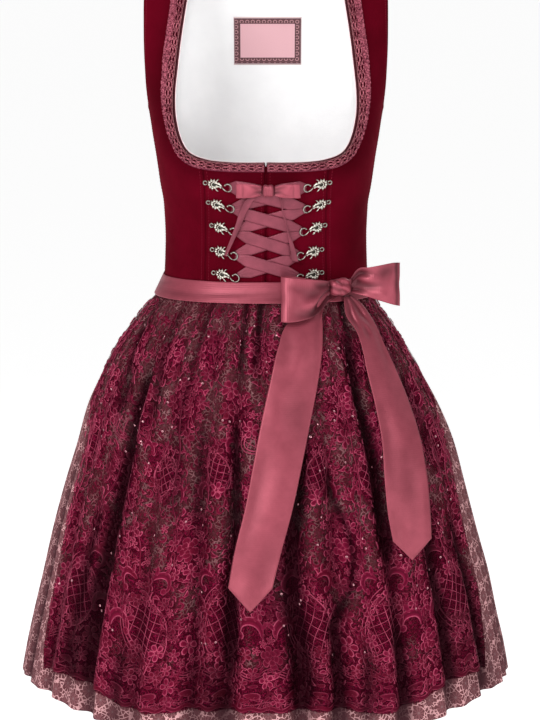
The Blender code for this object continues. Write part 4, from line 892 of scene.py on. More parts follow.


# Broad soft hollows between groups of gathers, which sink the cloth a little and are darkened with
# painted shade:
# width in degrees at both ends, how deep and dark, and the route down the skirt as angle and height.
Hollow = namedtuple("Hollow", "width_top width_low deep route")
HOLLOWS = [Hollow(*row) for row in (
    (2.6, 5.2, 0.95, [(-45.5, -0.49), (-44, -0.58), (-44.6, -0.656), (-48.3, -0.724), (-50.2, -0.8)]),
    (2.4, 3.4, 1, [(40.7, -0.401), (35.5, -0.452), (32.9, -0.522), (33, -0.588), (33.8, -0.65)]),
    (2, 3.6, 0.95, [(12.5, -0.52), (9.5, -0.602), (5.7, -0.665), (4.9, -0.708), (7.1, -0.751),
                    (8.7, -0.8)]),
    (3, 5.5, 0.8, [(-51, -0.64), (-53.5, -0.79)]),
    (1.8, 2.2, 0.75, [(-19.7, -0.54), (-19.3, -0.612)]),
    (1.4, 1.9, 0.9, [(-9.2, -0.54), (-7.2, -0.65)]),
    (1.1, 1.6, 0.9, [(18.2, -0.59), (22.8, -0.655), (22, -0.692), (16.2, -0.74)]),
    (2.8, 4.2, 0.8, [(50, -0.62), (47.3, -0.705), (48.6, -0.744), (48, -0.8)]),
    (4, 6.5, 0.7, [(60, -0.66), (63, -0.82)]), (1.8, 2.4, 0.8, [(-8.6, -0.7), (-8, -0.76)]),
    (1.6, 2.2, 0.75, [(16.6, -0.765), (16.8, -0.853)]), (2.4, 3.4, 0.8, [(-35, -0.78), (-36, -0.853)]),
    (2.2, 3, 0.75, [(-12.6, -0.79), (-12, -0.853)]), (1.8, 2.6, 0.8, [(24, -0.78), (22.5, -0.853)]),
    (2, 3, 0.8, [(33.5, -0.77), (32.5, -0.853)]),
    (2.8, 3.4, 0.85, [(-66, -0.42), (-58, -0.462), (-54, -0.5)]),
    (1.6, 2.2, 0.7, [(-41.5, -0.42), (-38.5, -0.505)]),
    (1.5, 1.6, 0.85, [(-1.5, -0.398), (-3.2, -0.455)]), (1, 1.2, 0.7, [(-7.6, -0.405), (-8.2, -0.455)]),
    (1.2, 2.6, 0.6, [(-25, -0.41), (-27.5, -0.52), (-26, -0.6)]),
    (2.2, 3.2, 0.6, [(60, -0.44), (57, -0.56)]), (3, 5, 0.8, [(-78, -0.6), (-76, -0.83)]),
    (3, 5, 0.8, [(86, -0.52), (84, -0.83)]),
    (2.6, 4.5, 0.85, [(112, -0.43), (116, -0.6), (113, -0.853)]),
    (2.2, 4, 0.8, [(139, -0.47), (136, -0.64), (139, -0.853)]),
    (2.4, 4.4, 0.85, [(163, -0.42), (166, -0.56), (162, -0.853)]),
    (2.2, 4, 0.8, [(188, -0.52), (186, -0.68), (190, -0.853)]),
    (2.6, 4.6, 0.85, [(212, -0.43), (209, -0.6), (214, -0.853)]),
    (2.4, 4.4, 0.8, [(238, -0.48), (241, -0.66), (237, -0.853)]),
    (2.6, 4.6, 0.8, [(260, -0.56), (258, -0.853)]),
)]
HOLLOW_SINKS, HOLLOW_FADES, SIDE_FOLDS = 4.5 * MM, 0.022, 0.5


def around(angle, at):
    """Angle from another one, between -180 and 180."""
    return (angle - at + 180) % 360 - 180


def hollows(angle, z):
    """How deep the broad hollows are at places, from 0 to 1."""
    deepest = np.zeros(np.broadcast(angle, z).shape)
    for hollow in HOLLOWS:
        angles, heights = zip(*hollow.route)
        at = through([-height for height in heights], angles, -z)
        t = part_way(z, heights[0], heights[-1])
        beyond = np.maximum(z - heights[0], heights[-1] - z)
        width = hollow.width_top + (hollow.width_low - hollow.width_top) * t
        fade = bell(np.maximum(beyond, 0), HOLLOW_FADES)
        deep = hollow.deep * fade * bell(around(angle, at), width)
        deepest = np.maximum(deepest, deep)
    return deepest


def skirt_roundness(z):
    """Exponent of the skirt's sections: the bodice's at the waist, and an ellipse's below."""
    share = clipped((WAIST - z) / ROUNDNESS_FALL)
    return ROUNDNESS + (SKIRT_ROUNDNESS - ROUNDNESS) * share


def skirt(angle, z, out=0.0):
    """Outer face of the gathered skirt, or a layer that lies out from it."""
    right, left, front, back = (read(SKIRT, z, part) + out
                                for part in ("right", "left", "front", "back"))
    x, y = section(angle, (right, left), (front, back), skirt_roundness(z))
    outward = unit(np.stack([x / right ** 2, y / front ** 2], axis=-1))
    front_on = SIDE_FOLDS + (1 - SIDE_FOLDS) * np.cos(np.radians(angle)) ** 2
    depth = (fold_depth(angle, z) * front_on + fine_gathers(angle, z)
             + HOLLOW_SINKS * hollows(angle, z))
    return np.stack([x - outward[..., 0] * depth, y - outward[..., 1] * depth,
                     z + 0 * angle], axis=-1)


gather_rng = np.random.default_rng(11)
GATHERS = 66
gather_at = -90 + (np.arange(GATHERS) + gather_rng.uniform(-0.28, 0.28, GATHERS)) * 360 / GATHERS
gather_deep = gather_rng.uniform(0.8, 2.1, GATHERS) * MM
gather_long = gather_rng.uniform(0.02, 0.06, GATHERS)
GATHER_WIDTH, GATHER_GROWS, SIDE_GATHERS = 1.5, 0.008, 0.35
DEEPEST, TUCK_SHARP, LEAST_TUCK = 16 * MM, 8, 0.002


def fine_gathers(angle, z):
    """Depth of the small pleats under the waist, which fade out down the skirt."""
    below = RIBBON_BOTTOM + 4 * MM - z
    depth = np.zeros(np.broadcast(angle, z).shape)
    for at, deep, length in zip(gather_at, gather_deep, gather_long):
        fade = clipped(below / GATHER_GROWS) * np.exp(-np.maximum(below, 0) / length)
        side_on = SIDE_GATHERS + (1 - SIDE_GATHERS) * abs(math.cos(math.radians(at)))
        depth += deep * side_on * fade * bell(around(angle, at), GATHER_WIDTH)
    return depth


def valleys(angle, z):
    """How deep places lie in the folds and hollows, from 0 on the crests to 1 in the deepest: how
    strongly shade is painted there.
    """
    deep = (fold_depth(angle, z) + 1.6 * fine_gathers(angle, z)) / DEEPEST
    return clipped(0.85 * clipped(deep) ** 1.1 + 0.95 * hollows(angle, z))


def hem(angle, column):
    """Height of a hem at an angle."""
    return through([row.angle for row in HEMS], [getattr(row, column) for row in HEMS],
                   np.abs(around(angle, 0)))


def tucked(places, angle, width):
    """Flat coordinates of gathered cloth, from the hem up: true to size on the crests,
    with the rest of its width hidden in the valleys."""
    arc = gaps(places, 1)
    tuck = fold_share(angle)[1] ** TUCK_SHARP + LEAST_TUCK + np.zeros(places.shape[:2])
    tuck = (tuck[:, 1:] + tuck[:, :-1]) / 2
    hidden = np.maximum(width - arc.sum(axis=1, keepdims=True), 0)
    u = running(arc + hidden * tuck / tuck.sum(axis=1, keepdims=True))
    return np.stack([u - u[:, -1:] / 2, running(gaps(places).T).T], axis=-1)


def lattice(value, pitch, shift=0.0):
    """Distance along one axis from the nearest point of a lattice."""
    return (value + (1.5 * pitch + shift)) % pitch - 0.5 * pitch


def waves(value, often):
    """A sine wave between 0 and 1."""
    return (value * often).maths("SINE") * 0.5 + 0.5


# The print: two lattices of round medallions, each with a pale heart and nine spokes broken
# by rings, on a dark ground with a fine pale network and dark specks.
MEDALLION_ACROSS, MEDALLION_DOWN, MEDALLION_RADIUS = 34 * MM, 23 * MM, 6.8 * MM
HEART_RADIUS, MEDALLION_WOBBLE, SPOKES, RINGS, SPOKE_FROM = 1.6 * MM, 1.6 * MM, 9.0, 4200.0, 0.62
NETWORK_SCALE, NETWORK_LINE, SPECK_SCALE, SPECK_SIZE = 210.0, 0.09, 230.0, 0.22
print_cotton = Finish("mauve print cotton", Roughness=0.85, Specular_IOR_Level=0.05)
x, y = print_cotton.split(print_cotton.cut())
ax, ay = lattice(x, MEDALLION_ACROSS), lattice(y, MEDALLION_DOWN)
bx = lattice(x, MEDALLION_ACROSS, MEDALLION_ACROSS / 2)
by = lattice(y, MEDALLION_DOWN, MEDALLION_DOWN / 2)
first, second = length_of(ax, ay), length_of(bx, by)
nearer = first < second
px = ax * nearer + bx * (1 - nearer)
py = ay * nearer + by * (1 - nearer)
radius = first.maths("MINIMUM", second)
wobble = print_cotton.weave(260.0)
medallion = (radius + wobble * MEDALLION_WOBBLE) < (MEDALLION_RADIUS + MEDALLION_WOBBLE / 2)
fleck = print_cotton.weave(1500.0, 2.0, 0.7)
spokes = waves(py.maths("ARCTAN2", px), SPOKES) * waves(radius, RINGS) * 0.7 + fleck * 0.6
motif = print_cotton.blend(spokes > SPOKE_FROM, (0.255, 0.096, 0.108), (0.07, 0.015, 0.023))
motif = print_cotton.blend(radius < HEART_RADIUS, motif, (0.27, 0.14, 0.15))
network = print_cotton.node("TexVoronoi", {"feature": "DISTANCE_TO_EDGE"},
                            {"Vector": print_cotton.cut(), "Scale": NETWORK_SCALE})
specks = print_cotton.node("TexVoronoi", {}, {"Vector": print_cotton.cut(), "Scale": SPECK_SCALE})
ground = print_cotton.blend(network < NETWORK_LINE, (0.158, 0.052, 0.06), (0.76, 0.4, 0.415))
ground = print_cotton.blend(specks < SPECK_SIZE, ground, (0.085, 0.008, 0.02))
shade = print_cotton.blend(medallion, ground, motif)
faded = print_cotton.blend(print_cotton.grain(9.0, 3.0) * 0.2, shade, (0.17, 0.068, 0.073))
print_cotton.colour(with_painted_shade(print_cotton, faded, (0.046, 0.015, 0.02)))
print_cotton.bump(print_cotton.weave(2200.0, 1.0), 0.15 * MM, 0.4)

# The hem is turned up: its stitching draws a fine line along both widths.
HEM_LINE, HEM_LINE_DEEP, HEM_LINE_WIDTH, SKIRT_TOP = 28 * MM, 0.5 * MM, 1.2 * MM, WAIST - 0.3 * MM
# Each width: the angle where it starts, and how wide its cloth is.
for part, low, width in (("front", -90, 0.944), ("back", 90, 0.969)):
    angle = columns_of(low + 0.05, low + 179.95, 361)
    bottom = hem(angle, "skirt")
    z = bottom + (SKIRT_TOP - bottom) * rows_of(0, 1, 71)
    places = skirt(angle, z)
    flat = tucked(places, angle, width)
    turned_up = HEM_LINE_DEEP * bell(flat[..., 1] - HEM_LINE, HEM_LINE_WIDTH)
    places = inwards(places, turned_up)
    piece = cloth("print_skirt_" + part, places, print_cotton, SKIRT_CLOTH, cut=flat,
                  marks={"valley": valleys(angle, z)})
    fit(piece, "print", "skirt_" + part)


# Apron: embroidered net in one piece, gathered under the ribbon and lying on the skirt.
# The net itself is fine tulle, darned all over with small wandering stitches.
APRON_TOP, APRON_OUT, APRON_OUT_SIDE = RIBBON_BOTTOM - 0.9 * MM, 4.2 * MM, 1.5 * MM
APRON_WIDTH, APRON_LENGTH, APRON_FLAT = 0.712, 0.43, (0.72, 0.45)
APRON_SIDE, APRON_SIDE_BAND, APRON_CORNER = 58, 18, 63.5   # angles of its edges, in degrees

# Bouquets of embroidery in one repeat of the pattern, as ovals: middle and half sizes.
# Those off the middle are mirrored about it. Between them the net is open.
REPEAT = 0.237
REPEATS = (-REPEAT, 0.0, REPEAT)
BOUQUETS = [
    (0, 0.092, 0.024, 0.046), (0.062, 0.098, 0.042, 0.058), (0.036, 0.17, 0.024, 0.03),
    (0.1185, 0.176, 0.03, 0.042), (0, 0.236, 0.034, 0.036), (0.076, 0.264, 0.028, 0.032),
    (0.1185, 0.336, 0.026, 0.03), (0.038, 0.322, 0.024, 0.028), (0, 0.392, 0.022, 0.026),
    (0.082, 0.392, 0.022, 0.026), (0.1185, 0.07, 0.022, 0.034),
]
HEM_BAND = 0.05           # the border along the apron's hem, embroidered all over
DARNING = 0.02            # half width of a darning stitch, in the noise that it follows


def worked(x, y):
    """How far inside a bouquet or the hem border a flat place lies: above 0 is inside."""
    best = 4.0 * (HEM_BAND - y) / HEM_BAND + np.zeros(np.broadcast(x, y).shape)
    for middle in REPEATS:
        for bx, by, rx, ry in BOUQUETS:
            for mirror in (-1, 1):
                near = 1 - ((x - middle - mirror * bx) / rx) ** 2 - ((y - by) / ry) ** 2
                best = np.maximum(best, near)
    return best


net = Finish("wine net", Roughness=0.85, Specular_IOR_Level=0.02)
opened = net.mark("open")
darned = (net.weave(200.0, 1.5, 0.6) - 0.5).maths("ABSOLUTE") < DARNING
holes = net.weave(800.0, 1.0)
patch = net.weave(30.0)
darning = net.blend(net.weave(420.0), (0.085, 0.002, 0.014), (0.26, 0.01, 0.052))
worked_net = net.blend(darned, (0.06, 0.001, 0.009), darning)
open_net = net.blend(darned, (0.06, 0.0014, 0.008), (0.19, 0.006, 0.034))
net.colour(with_painted_shade(net, net.blend(opened, worked_net, open_net), (0.01, 0.0004, 0.0025)))
solid = 0.9 + darned * 0.25 - opened * (0.88 - patch * 0.96) + (holes - 0.5) * 0.5
net.feed(net.shader.inputs["Alpha"], solid)

columns = columns_of(-1, 1, 401)
edge_low = read(SKIRT, hem(np.array(APRON_CORNER), "apron"), "edge")
bottom = hem(columns * edge_low, "apron")
z = bottom + (APRON_TOP - bottom) * rows_of(0, 1, 81)
angle = columns * read(SKIRT, z, "edge")
beside = clipped((np.abs(angle) - APRON_SIDE) / APRON_SIDE_BAND)
places = skirt(angle, z, APRON_OUT + (APRON_OUT_SIDE - APRON_OUT) * beside)
flat = tucked(places, angle, APRON_WIDTH)
between = clipped(0.5 - 1.4 * worked(flat[..., 0], flat[..., 1]))
apron = cloth("net_apron", places, net, 0.0, cut=flat,
              marks={"valley": valleys(angle, z), "open": between})
fit(apron, "lace", "apron")


# Embroidery on the apron: flowers, leaves, scrolls and trellises in raspberry thread, each
# outlined with a lighter cord. It is drawn flat and then laid on the gathered net.
INNER, FILLED = 0.82, 0.76  # the edge mark where a cord starts, and the filled part of a band
DOME, CORD, LOW = 0.55 * MM, 0.85 * MM, 0.1 * MM


class Drawing:
    """Flat embroidery: places with their height and how near each is to a cord, and faces."""

    def __init__(self):
        self.places, self.edge, self.faces = [], [], []

    def add(self, places, edge, faces):
        first = len(self.places)
        self.places += [tuple(place) for place in places]
        self.edge += list(edge)
        self.faces += [tuple(first + corner for corner in face) for face in faces]

    def patch(self, outline, rise=1.0, middle=None, lift=0.0, fill=0.85):
        """A filled shape: a low dome of thread with a raised cord round it."""
        outline, n = np.asarray(outline, float), len(outline)
        middle = outline.mean(axis=0) if middle is None else np.asarray(middle)
        inner = middle + (outline - middle) * fill
        rings = [(middle[None, :], DOME), (inner, CORD), (outline, LOW)]
        places = [(*point, lift + rise * height) for ring, height in rings for point in ring]
        faces = [(0, 1 + i, 1 + (i + 1) % n) for i in range(n)]
        faces += [(1 + i, 1 + n + i, 1 + n + (i + 1) % n, 1 + (i + 1) % n) for i in range(n)]
        self.add(places, [0.0] + [INNER] * n + [1.0] * n, faces)

    def band(self, line, widths, corded=True):
        """A scroll or stem: a band of thread of varying width along a line."""
        line = np.asarray(line, float)
        run = np.gradient(line, axis=0)
        side = unit(np.stack([-run[:, 1], run[:, 0]], axis=1))
        half = np.broadcast_to(widths, len(line))[:, None] / 2
        shares = (1, FILLED, 0, -FILLED, -1) if corded else (1, 0, -1)
        heights = (LOW, CORD, DOME, CORD, LOW) if corded else (LOW, CORD, LOW)
        edges = (1, INNER, 0, INNER, 1) if corded else (1, 1, 1)
        places = [(*point, height) for k in range(len(line))
                  for point, height in zip([line[k] + side[k] * half[k] * s for s in shares], heights)]
        m = len(shares)
        faces = [(k * m + j, k * m + j + 1, (k + 1) * m + j + 1, (k + 1) * m + j)
                 for k in range(len(line) - 1) for j in range(m - 1)]
        self.add(places, list(edges) * len(line), faces)

    def motif(self, name, finish):
        """The drawing as an object that isn't in the scene, to be set out on cloth."""
        marks = {"edge": np.array(self.edge, float)}
        return bpy.data.objects.new(name, new_mesh(name, self.places, self.faces, finish, marks))


def circle(centre, radius, step):
    """Places round a circle, a step of degrees apart."""
    return [(centre[0] + radius * math.cos(a), centre[1] + radius * math.sin(a))
            for a in np.radians(range(0, 360, step))]


def swirl(centre, radius, start, sweep, shrink, count):
    """Places along a spiral: its radius falls to shrink times the first."""
    t = np.linspace(0, 1, count)
    reach, turn = radius * shrink ** t, np.radians(start + sweep * t)
    return np.stack([centre[0] + reach * np.cos(turn), centre[1] + reach * np.sin(turn)], axis=1)


def petal(turn, near, far, width, tip=0.0, count=7):
    """Outline of a petal that points away from the flower's middle."""
    t = np.linspace(0, 2 * np.pi, count, endpoint=False)
    along = (near + far) / 2 - (far - near) / 2 * np.cos(t)
    across = -width / 2 * np.sin(t) * (1 - 0.35 * np.cos(t)) * (1 - tip * (1 - np.cos(t)) / 2)
    return np.stack(turned(along, across, turn), axis=1)


def blossom(near, width, count, fill):
    """A flower of unit radius, with five petals."""
    drawing = Drawing()
    for i in range(5):
        drawing.patch(petal(72 * i + 90, near, 1.0, width, 0.1, count), fill=fill)
    drawing.patch(circle((0, 0), 0.17, 72), 1.2, lift=0.25 * MM)
    return drawing


def rose():
    """A double flower of unit radius: three turned rings of petals round a bud."""
    drawing = Drawing()
    for petals, first, near, far, width, tip, count, rise, lift in (
            (6, 8, 0.3, 1.0, 0.66, 0.1, 9, 1.0, 0.0), (5, 40, 0.12, 0.66, 0.56, 0.0, 8, 1.1, 0.35),
            (3, 0, 0.0, 0.32, 0.32, 0.0, 7, 1.2, 0.65)):
        for i in range(petals):
            outline = petal(360 // petals * i + first, near, far, width, tip, count)
            drawing.patch(outline, rise, lift=lift * MM)
    return drawing


def leaf(bend=0.25):
    """A pointed leaf of unit length, bent to one side."""
    t = np.linspace(0, 1, 6)
    spine = np.stack([t - 0.5, bend * np.sin(np.pi * t)], axis=1)
    half = 0.2 * np.sin(np.pi * t ** 0.8)[:, None] * np.array((0, 1))
    drawing = Drawing()
    drawing.patch(np.concatenate([spine - half, (spine + half)[-2:0:-1]]), middle=(0, bend), fill=0.7)
    return drawing


def curl():
    """A hooked tendril of unit size that ends in a bead."""
    drawing = Drawing()
    line = swirl((0, 0), 0.5, -40, 250, 0.55, 10)
    drawing.band(line, 0.1 + 0.22 * np.sin(np.pi * np.linspace(0.1, 1, 10)) ** 1.5)
    drawing.patch(circle(line[-1], 0.15, 60))
    return drawing


raspberry = Finish("raspberry thread", Roughness=0.55, Specular_IOR_Level=0.05)
edge, tint = raspberry.mark("edge"), raspberry.mark("tint")
strands = raspberry.grain(1100.0, 2.0, 0.6)
# Noise over the object that lightens the cords in patches: painted highlights. The cords' tone also
# follows each motif's own tint.
painted_cord_highlights = raspberry.grain(70.0, 2.0, 0.6)
filled = raspberry.blend(tint, (0.085, 0.0008, 0.009), (0.285, 0.006, 0.05))
filled = raspberry.blend(edge * 0.9 + 0.1, (0.048, 0.0006, 0.0055), filled)
deep = (raspberry.grain(26.0, 2.0) - 0.44) * 4.0
filled = raspberry.blend(deep * 0.65, filled, (0.1, 0.0006, 0.0075))
filled = raspberry.blend(strands * 0.3, filled, (0.26, 0.01, 0.056))
corded = raspberry.blend(tint * 0.5 + (painted_cord_highlights - 0.35) * 1.6,
                         (0.115, 0.004, 0.021), (0.58, 0.092, 0.172))
stitched = raspberry.blend(edge > 0.8, filled, corded)
raspberry.colour(with_painted_shade(raspberry, stitched, (0.012, 0.0004, 0.0025)))
raspberry.bump(strands, 0.25 * MM, 0.6)


# The tree that sets motifs out on points, gives each its own tint, and lays them on a cloth
# by its flat coordinates. What falls beside the cloth is left out.
embroider = bpy.data.node_groups.new("embroidery laid on cloth", "GeometryNodeTree")
for title, kind in (("Geometry", "Geometry"), ("Motif", "Object"), ("Cloth", "Object"),
                    ("Thread", "Material"), ("Lift", "Float"), ("Seed", "Int")):
    embroider.interface.new_socket(title, in_out="INPUT", socket_type="NodeSocket" + kind)
embroider.interface.new_socket("Geometry", in_out="OUTPUT", socket_type="NodeSocketGeometry")


def node(kind, sockets, output=0, **settings):
    """Adds a node to the tree and returns its output; a socket's value may be another's output."""
    made = embroider.nodes.new(kind)
    for setting, value in settings.items():
        setattr(made, setting, value)
    for key, value in sockets.items():
        if isinstance(value, bpy.types.NodeSocket):
            embroider.links.new(value, made.inputs[key])
        else:
            made.inputs[key].default_value = value
    return made.outputs[output]


def marked(name, kind="FLOAT_VECTOR"):
    """A value marked on a mesh."""
    return node("GeometryNodeInputNamedAttribute", {"Name": name}, "Attribute", data_type=kind)


def mark(geometry, name, value, domain):
    """The geometry with a value marked on it."""
    return node("GeometryNodeStoreNamedAttribute", {"Geometry": geometry, "Name": name, "Value": value},
                data_type="FLOAT", domain=domain)


def on_cloth(value, output="Value", kind="FLOAT_VECTOR"):
    """What the cloth has under each flat place."""
    return node("GeometryNodeSampleUVSurface", {
        "Mesh": ground, "Value": value, "UV Map": marked("cut"), "Sample UV": flat_place}, output,
        data_type=kind)


given = embroider.nodes.new("NodeGroupInput").outputs
ground, motif = (node("GeometryNodeObjectInfo", {"Object": given[name]}, "Geometry")
                 for name in ("Cloth", "Motif"))
flat_place = node("GeometryNodeInputPosition", {})
chance = node("FunctionNodeRandomValue", {"Seed": given["Seed"]}, 1, data_type="FLOAT")
set_out = node("GeometryNodeInstanceOnPoints", {
    "Points": given["Geometry"], "Instance": motif, "Rotation": marked("turn"), "Scale": marked("size")})
real = node("GeometryNodeRealizeInstances", {"Geometry": mark(set_out, "tint", chance, "INSTANCE")})
off_cloth = node("FunctionNodeBooleanMath", {0: on_cloth(flat_place, "Is Valid")}, operation="NOT")
held_on = node("GeometryNodeDeleteGeometry", {"Geometry": real, "Selection": off_cloth})
# The cloth's painted fold shade, taken over by the embroidery laid on it.
shaded = mark(held_on, "valley", on_cloth(marked("valley", "FLOAT"), kind="FLOAT"), "POINT")
height = node("ShaderNodeMath", {
    0: node("ShaderNodeSeparateXYZ", {"Vector": flat_place}, "Z"), 1: given["Lift"]})
upright = node("ShaderNodeVectorMath", {
    0: on_cloth(node("GeometryNodeInputNormal", {})), "Scale": height}, operation="SCALE")
laid = node("ShaderNodeVectorMath", {0: on_cloth(flat_place), 1: upright})
moved = node("GeometryNodeSetPosition", {"Geometry": shaded, "Position": laid})
dyed = node("GeometryNodeSetMaterial", {"Geometry": moved, "Material": given["Thread"]})
embroider.links.new(dyed, embroider.nodes.new("NodeGroupOutput").inputs["Geometry"])


def set_out_on(ground, name, rows, motif, look, lift, seed):
    """One plain mesh of motifs on a cloth, from rows of flat x and y, turn in degrees, width
    and length."""
    rows = np.array(rows, float).reshape(-1, 5)
    mesh = bpy.data.meshes.new(name)
    mesh.from_pydata([(x, y, 0) for x, y in rows[:, :2]], [], [])
    for title, values in (("turn", [(0, 0, math.radians(turn)) for turn in rows[:, 2]]),
                          ("size", [(width, length, 1.0) for width, length in rows[:, 3:]])):
        layer = mesh.attributes.new(title, "FLOAT_VECTOR", "POINT")
        layer.data.foreach_set("vector", np.array(values).ravel())
    piece = placed(name, mesh)
    growth = piece.modifiers.new("growth", "NODES")
    growth.node_group = embroider
    inputs = {"Motif": motif, "Cloth": ground, "Thread": look.material, "Lift": lift, "Seed": seed}
    for socket in embroider.interface.items_tree:
        if socket.in_out == "INPUT" and socket.name in inputs:
            growth[socket.identifier] = inputs[socket.name]
    bpy.context.view_layer.update()
    evaluated = piece.evaluated_get(bpy.context.evaluated_depsgraph_get())
    made = bpy.data.meshes.new_from_object(evaluated)
    piece.modifiers.clear()
    piece.data = made
    made.name = name
    return piece


# The pattern repeats three times across the apron, mirrored about each repeat's middle.
trellis, scrolls, hem_border = Drawing(), Drawing(), Drawing()
taken = []                 # places that a motif already fills: x, y and radius
TRELLIS_CORD = 0.7 * MM


def lattice_panel(centre, half, tilt, pitch, arcs=3):
    """Crossed fine cords that fill an oval, with arcs round it."""
    c, s = math.cos(math.radians(tilt)), math.sin(math.radians(tilt))
    tilted = np.array(((c, s), (-s, c)))
    reach = max(half)
    t = np.linspace(-reach, reach, 25)
    for lean in (45, -45):
        for k in np.arange(-reach, reach + pitch / 2, pitch):
            line = np.stack(turned(k, t, lean), axis=1)
            line = line[(line[:, 0] / half[0]) ** 2 + (line[:, 1] / half[1]) ** 2 < 1]
            if len(line) > 3:
                trellis.band(line @ tilted + centre, TRELLIS_CORD, corded=False)
    for ring in range(arcs):
        grow = 1.02 + 0.16 * ring
        sweep = np.radians(np.linspace(-75 + 14 * ring, 75 - 14 * ring, 22))
        for mirror in (-1, 1) if ring == 0 else (-1,):
            line = np.stack([mirror * half[0] * grow * np.cos(sweep), half[1] * grow * np.sin(sweep)],
                            axis=1)
            trellis.band(line @ tilted + centre, (1.5 - 0.3 * ring) * MM, corded=False)
    taken.append((centre[0], centre[1], 0.8 * min(half)))


def vine(route, width, leaf_size):
    """A stem with pairs of outlined leaves along it."""
    line = flowing(np.array(route), 40)
    scrolls.band(line, width)
    run = np.gradient(line, axis=0)
    for k in range(3, 38, 5):
        turn = math.degrees(math.atan2(run[k, 1], run[k, 0]))
        for lean in (50, -50):
            scrolls.patch(petal(turn + lean, 0.0015, leaf_size, leaf_size * 0.5, 0.4, 9) + line[k],
                          fill=0.62)
        taken.append((line[k][0], line[k][1], leaf_size * 0.55))


def acanthus(centre, radius, start, sweep, width):
    """A leafy C-scroll: a fat curling band with lobes along its back."""
    line = swirl(centre, radius, start, sweep, 0.45, 18)
    t = np.linspace(0, 1, 18)
    scrolls.band(line, width * (0.25 + 0.75 * np.sin(np.pi * t ** 0.7)))
    sense = 1 if sweep > 0 else -1
    for k in (2, 5, 8, 11):
        out = line[k] - np.array(centre)
        turn = math.degrees(math.atan2(out[1], out[0])) + 35 * sense
        scrolls.patch(petal(turn, 0, width * 1.35, width * 0.8, 0.5) + line[k])
    scrolls.patch(circle(line[-1], width * 0.45, 45))
    taken.append((centre[0], centre[1], radius * 0.9))


# Half a repeat, as it lies on the right of the middle. Leafy scrolls: x, y, radius, start and
# sweep in degrees, and width. Vines: their route, width in millimetres and leaf size.
SCROLLS = [
    (0.026, 0.088, 0.0185, 200, -225, 0.0098), (0.034, 0.138, 0.015, 20, 240, 0.0085),
    (0.088, 0.14, 0.0145, 150, -235, 0.0085), (0.056, 0.286, 0.013, 200, -220, 0.0075),
    (0.098, 0.24, 0.012, -60, 220, 0.007),
]
VINES = [
    ([(0.052, 0.148), (0.044, 0.19), (0.022, 0.222), (0.01, 0.262)], 1.6, 0.0085),
    ([(0.104, 0.196), (0.092, 0.226), (0.102, 0.29), (0.114, 0.345)], 1.6, 0.008),
    ([(0.03, 0.3), (0.052, 0.345), (0.076, 0.372), (0.086, 0.412)], 1.5, 0.0075),
]
for middle in REPEATS:
    for side in (-1, 1):
        lattice_panel((middle + side * 0.062, 0.094), (0.027, 0.039), side * 24, 0.01)
        lattice_panel((middle + side * 0.078, 0.262), (0.015, 0.024), -side * 24, 0.0082, 1)
        for x, y, radius, start, sweep, width in SCROLLS:
            acanthus((middle + side * x, y), radius, start if side > 0 else 180 - start,
                     side * sweep, width)
        for route, width, leaf_size in VINES:
            vine([(middle + side * x, y) for x, y in route], width * MM, leaf_size)
    lattice_panel((middle + 0.006, 0.3), (0.034, 0.0135), 14, 0.0072, 2)
    acanthus((middle - 0.04, 0.284), 0.0115, 60, 240, 0.007)
    acanthus((middle + 0.052, 0.32), 0.0115, -120, 240, 0.007)

# The hem: an edge cord, a chain of long ovals and the leaves between them.
EDGE_WAVE, EDGE_PITCH = 1.4 * MM, 0.0237
u = np.linspace(-0.352, 0.352, 360)
wave = 4.2 * MM + EDGE_WAVE * np.cos(2 * np.pi * u / EDGE_PITCH)
hem_border.band(np.stack([u, wave], axis=1), 4.4 * MM)
for rise, swing in ((0.0385, 3.0), (0.0415, 3.4), (0.0448, 3.8), (0.0105, 1.6)):
    u = np.linspace(-0.35, 0.35, 300)
    wave = rise + swing * MM * np.cos(2 * np.pi * u / (2 * EDGE_PITCH))
    hem_border.band(np.stack([u, wave], axis=1), 1.0 * MM, corded=False)
for i in range(-15, 16):
    x = i * EDGE_PITCH
    if i % 2:
        oval = petal(8 * (-1) ** (i // 2), -0.0105, 0.0105, 0.0078, 0.0, 12)
        hem_border.patch(oval + (x, 0.0185))
        hem_border.patch(petal(0, -0.006, 0.006, 0.0036, 0.0, 8) + (x, 0.0292))
        taken.append((x, 0.022, 0.01))
    for turn in (32, 148):
        hem_border.patch(petal(turn, 0.003, 0.0125, 0.0052, 0.4, 8) + (x + 0.0118, 0.011))

# Flowers and, where they are large, roses: x, y and radius in millimetres.
LEAST_ROSE = 12.9
flowers, roses, leaves, curls, small = [], [], [], [], []
for middle in REPEATS:
    for x, y, radius in ((0.0, 0.06, 13.5), (-0.1185, 0.07, 12.0), (0.0, 0.174, 13.5),
                         (-0.1185, 0.176, 14.5), (0.036, 0.196, 11.0), (-0.036, 0.196, 11.0),
                         (0.0, 0.258, 12.5), (-0.1185, 0.3, 12.0), (0.06, 0.352, 11.0),
                         (-0.05, 0.35, 11.5), (0.006, 0.385, 10.5), (-0.1, 0.392, 10.5)):
        target = roses if radius > LEAST_ROSE else flowers
        target.append((middle + x, y, 31.0 * len(target), radius * MM, radius * MM))
        taken.append((middle + x, y, radius * MM * 0.92))

fill_rng = np.random.default_rng(5)


def free(x, y, radius):
    """Whether no motif is in the way there."""
    return all(math.hypot(x - tx, y - ty) > radius + tr for tx, ty, tr in taken)


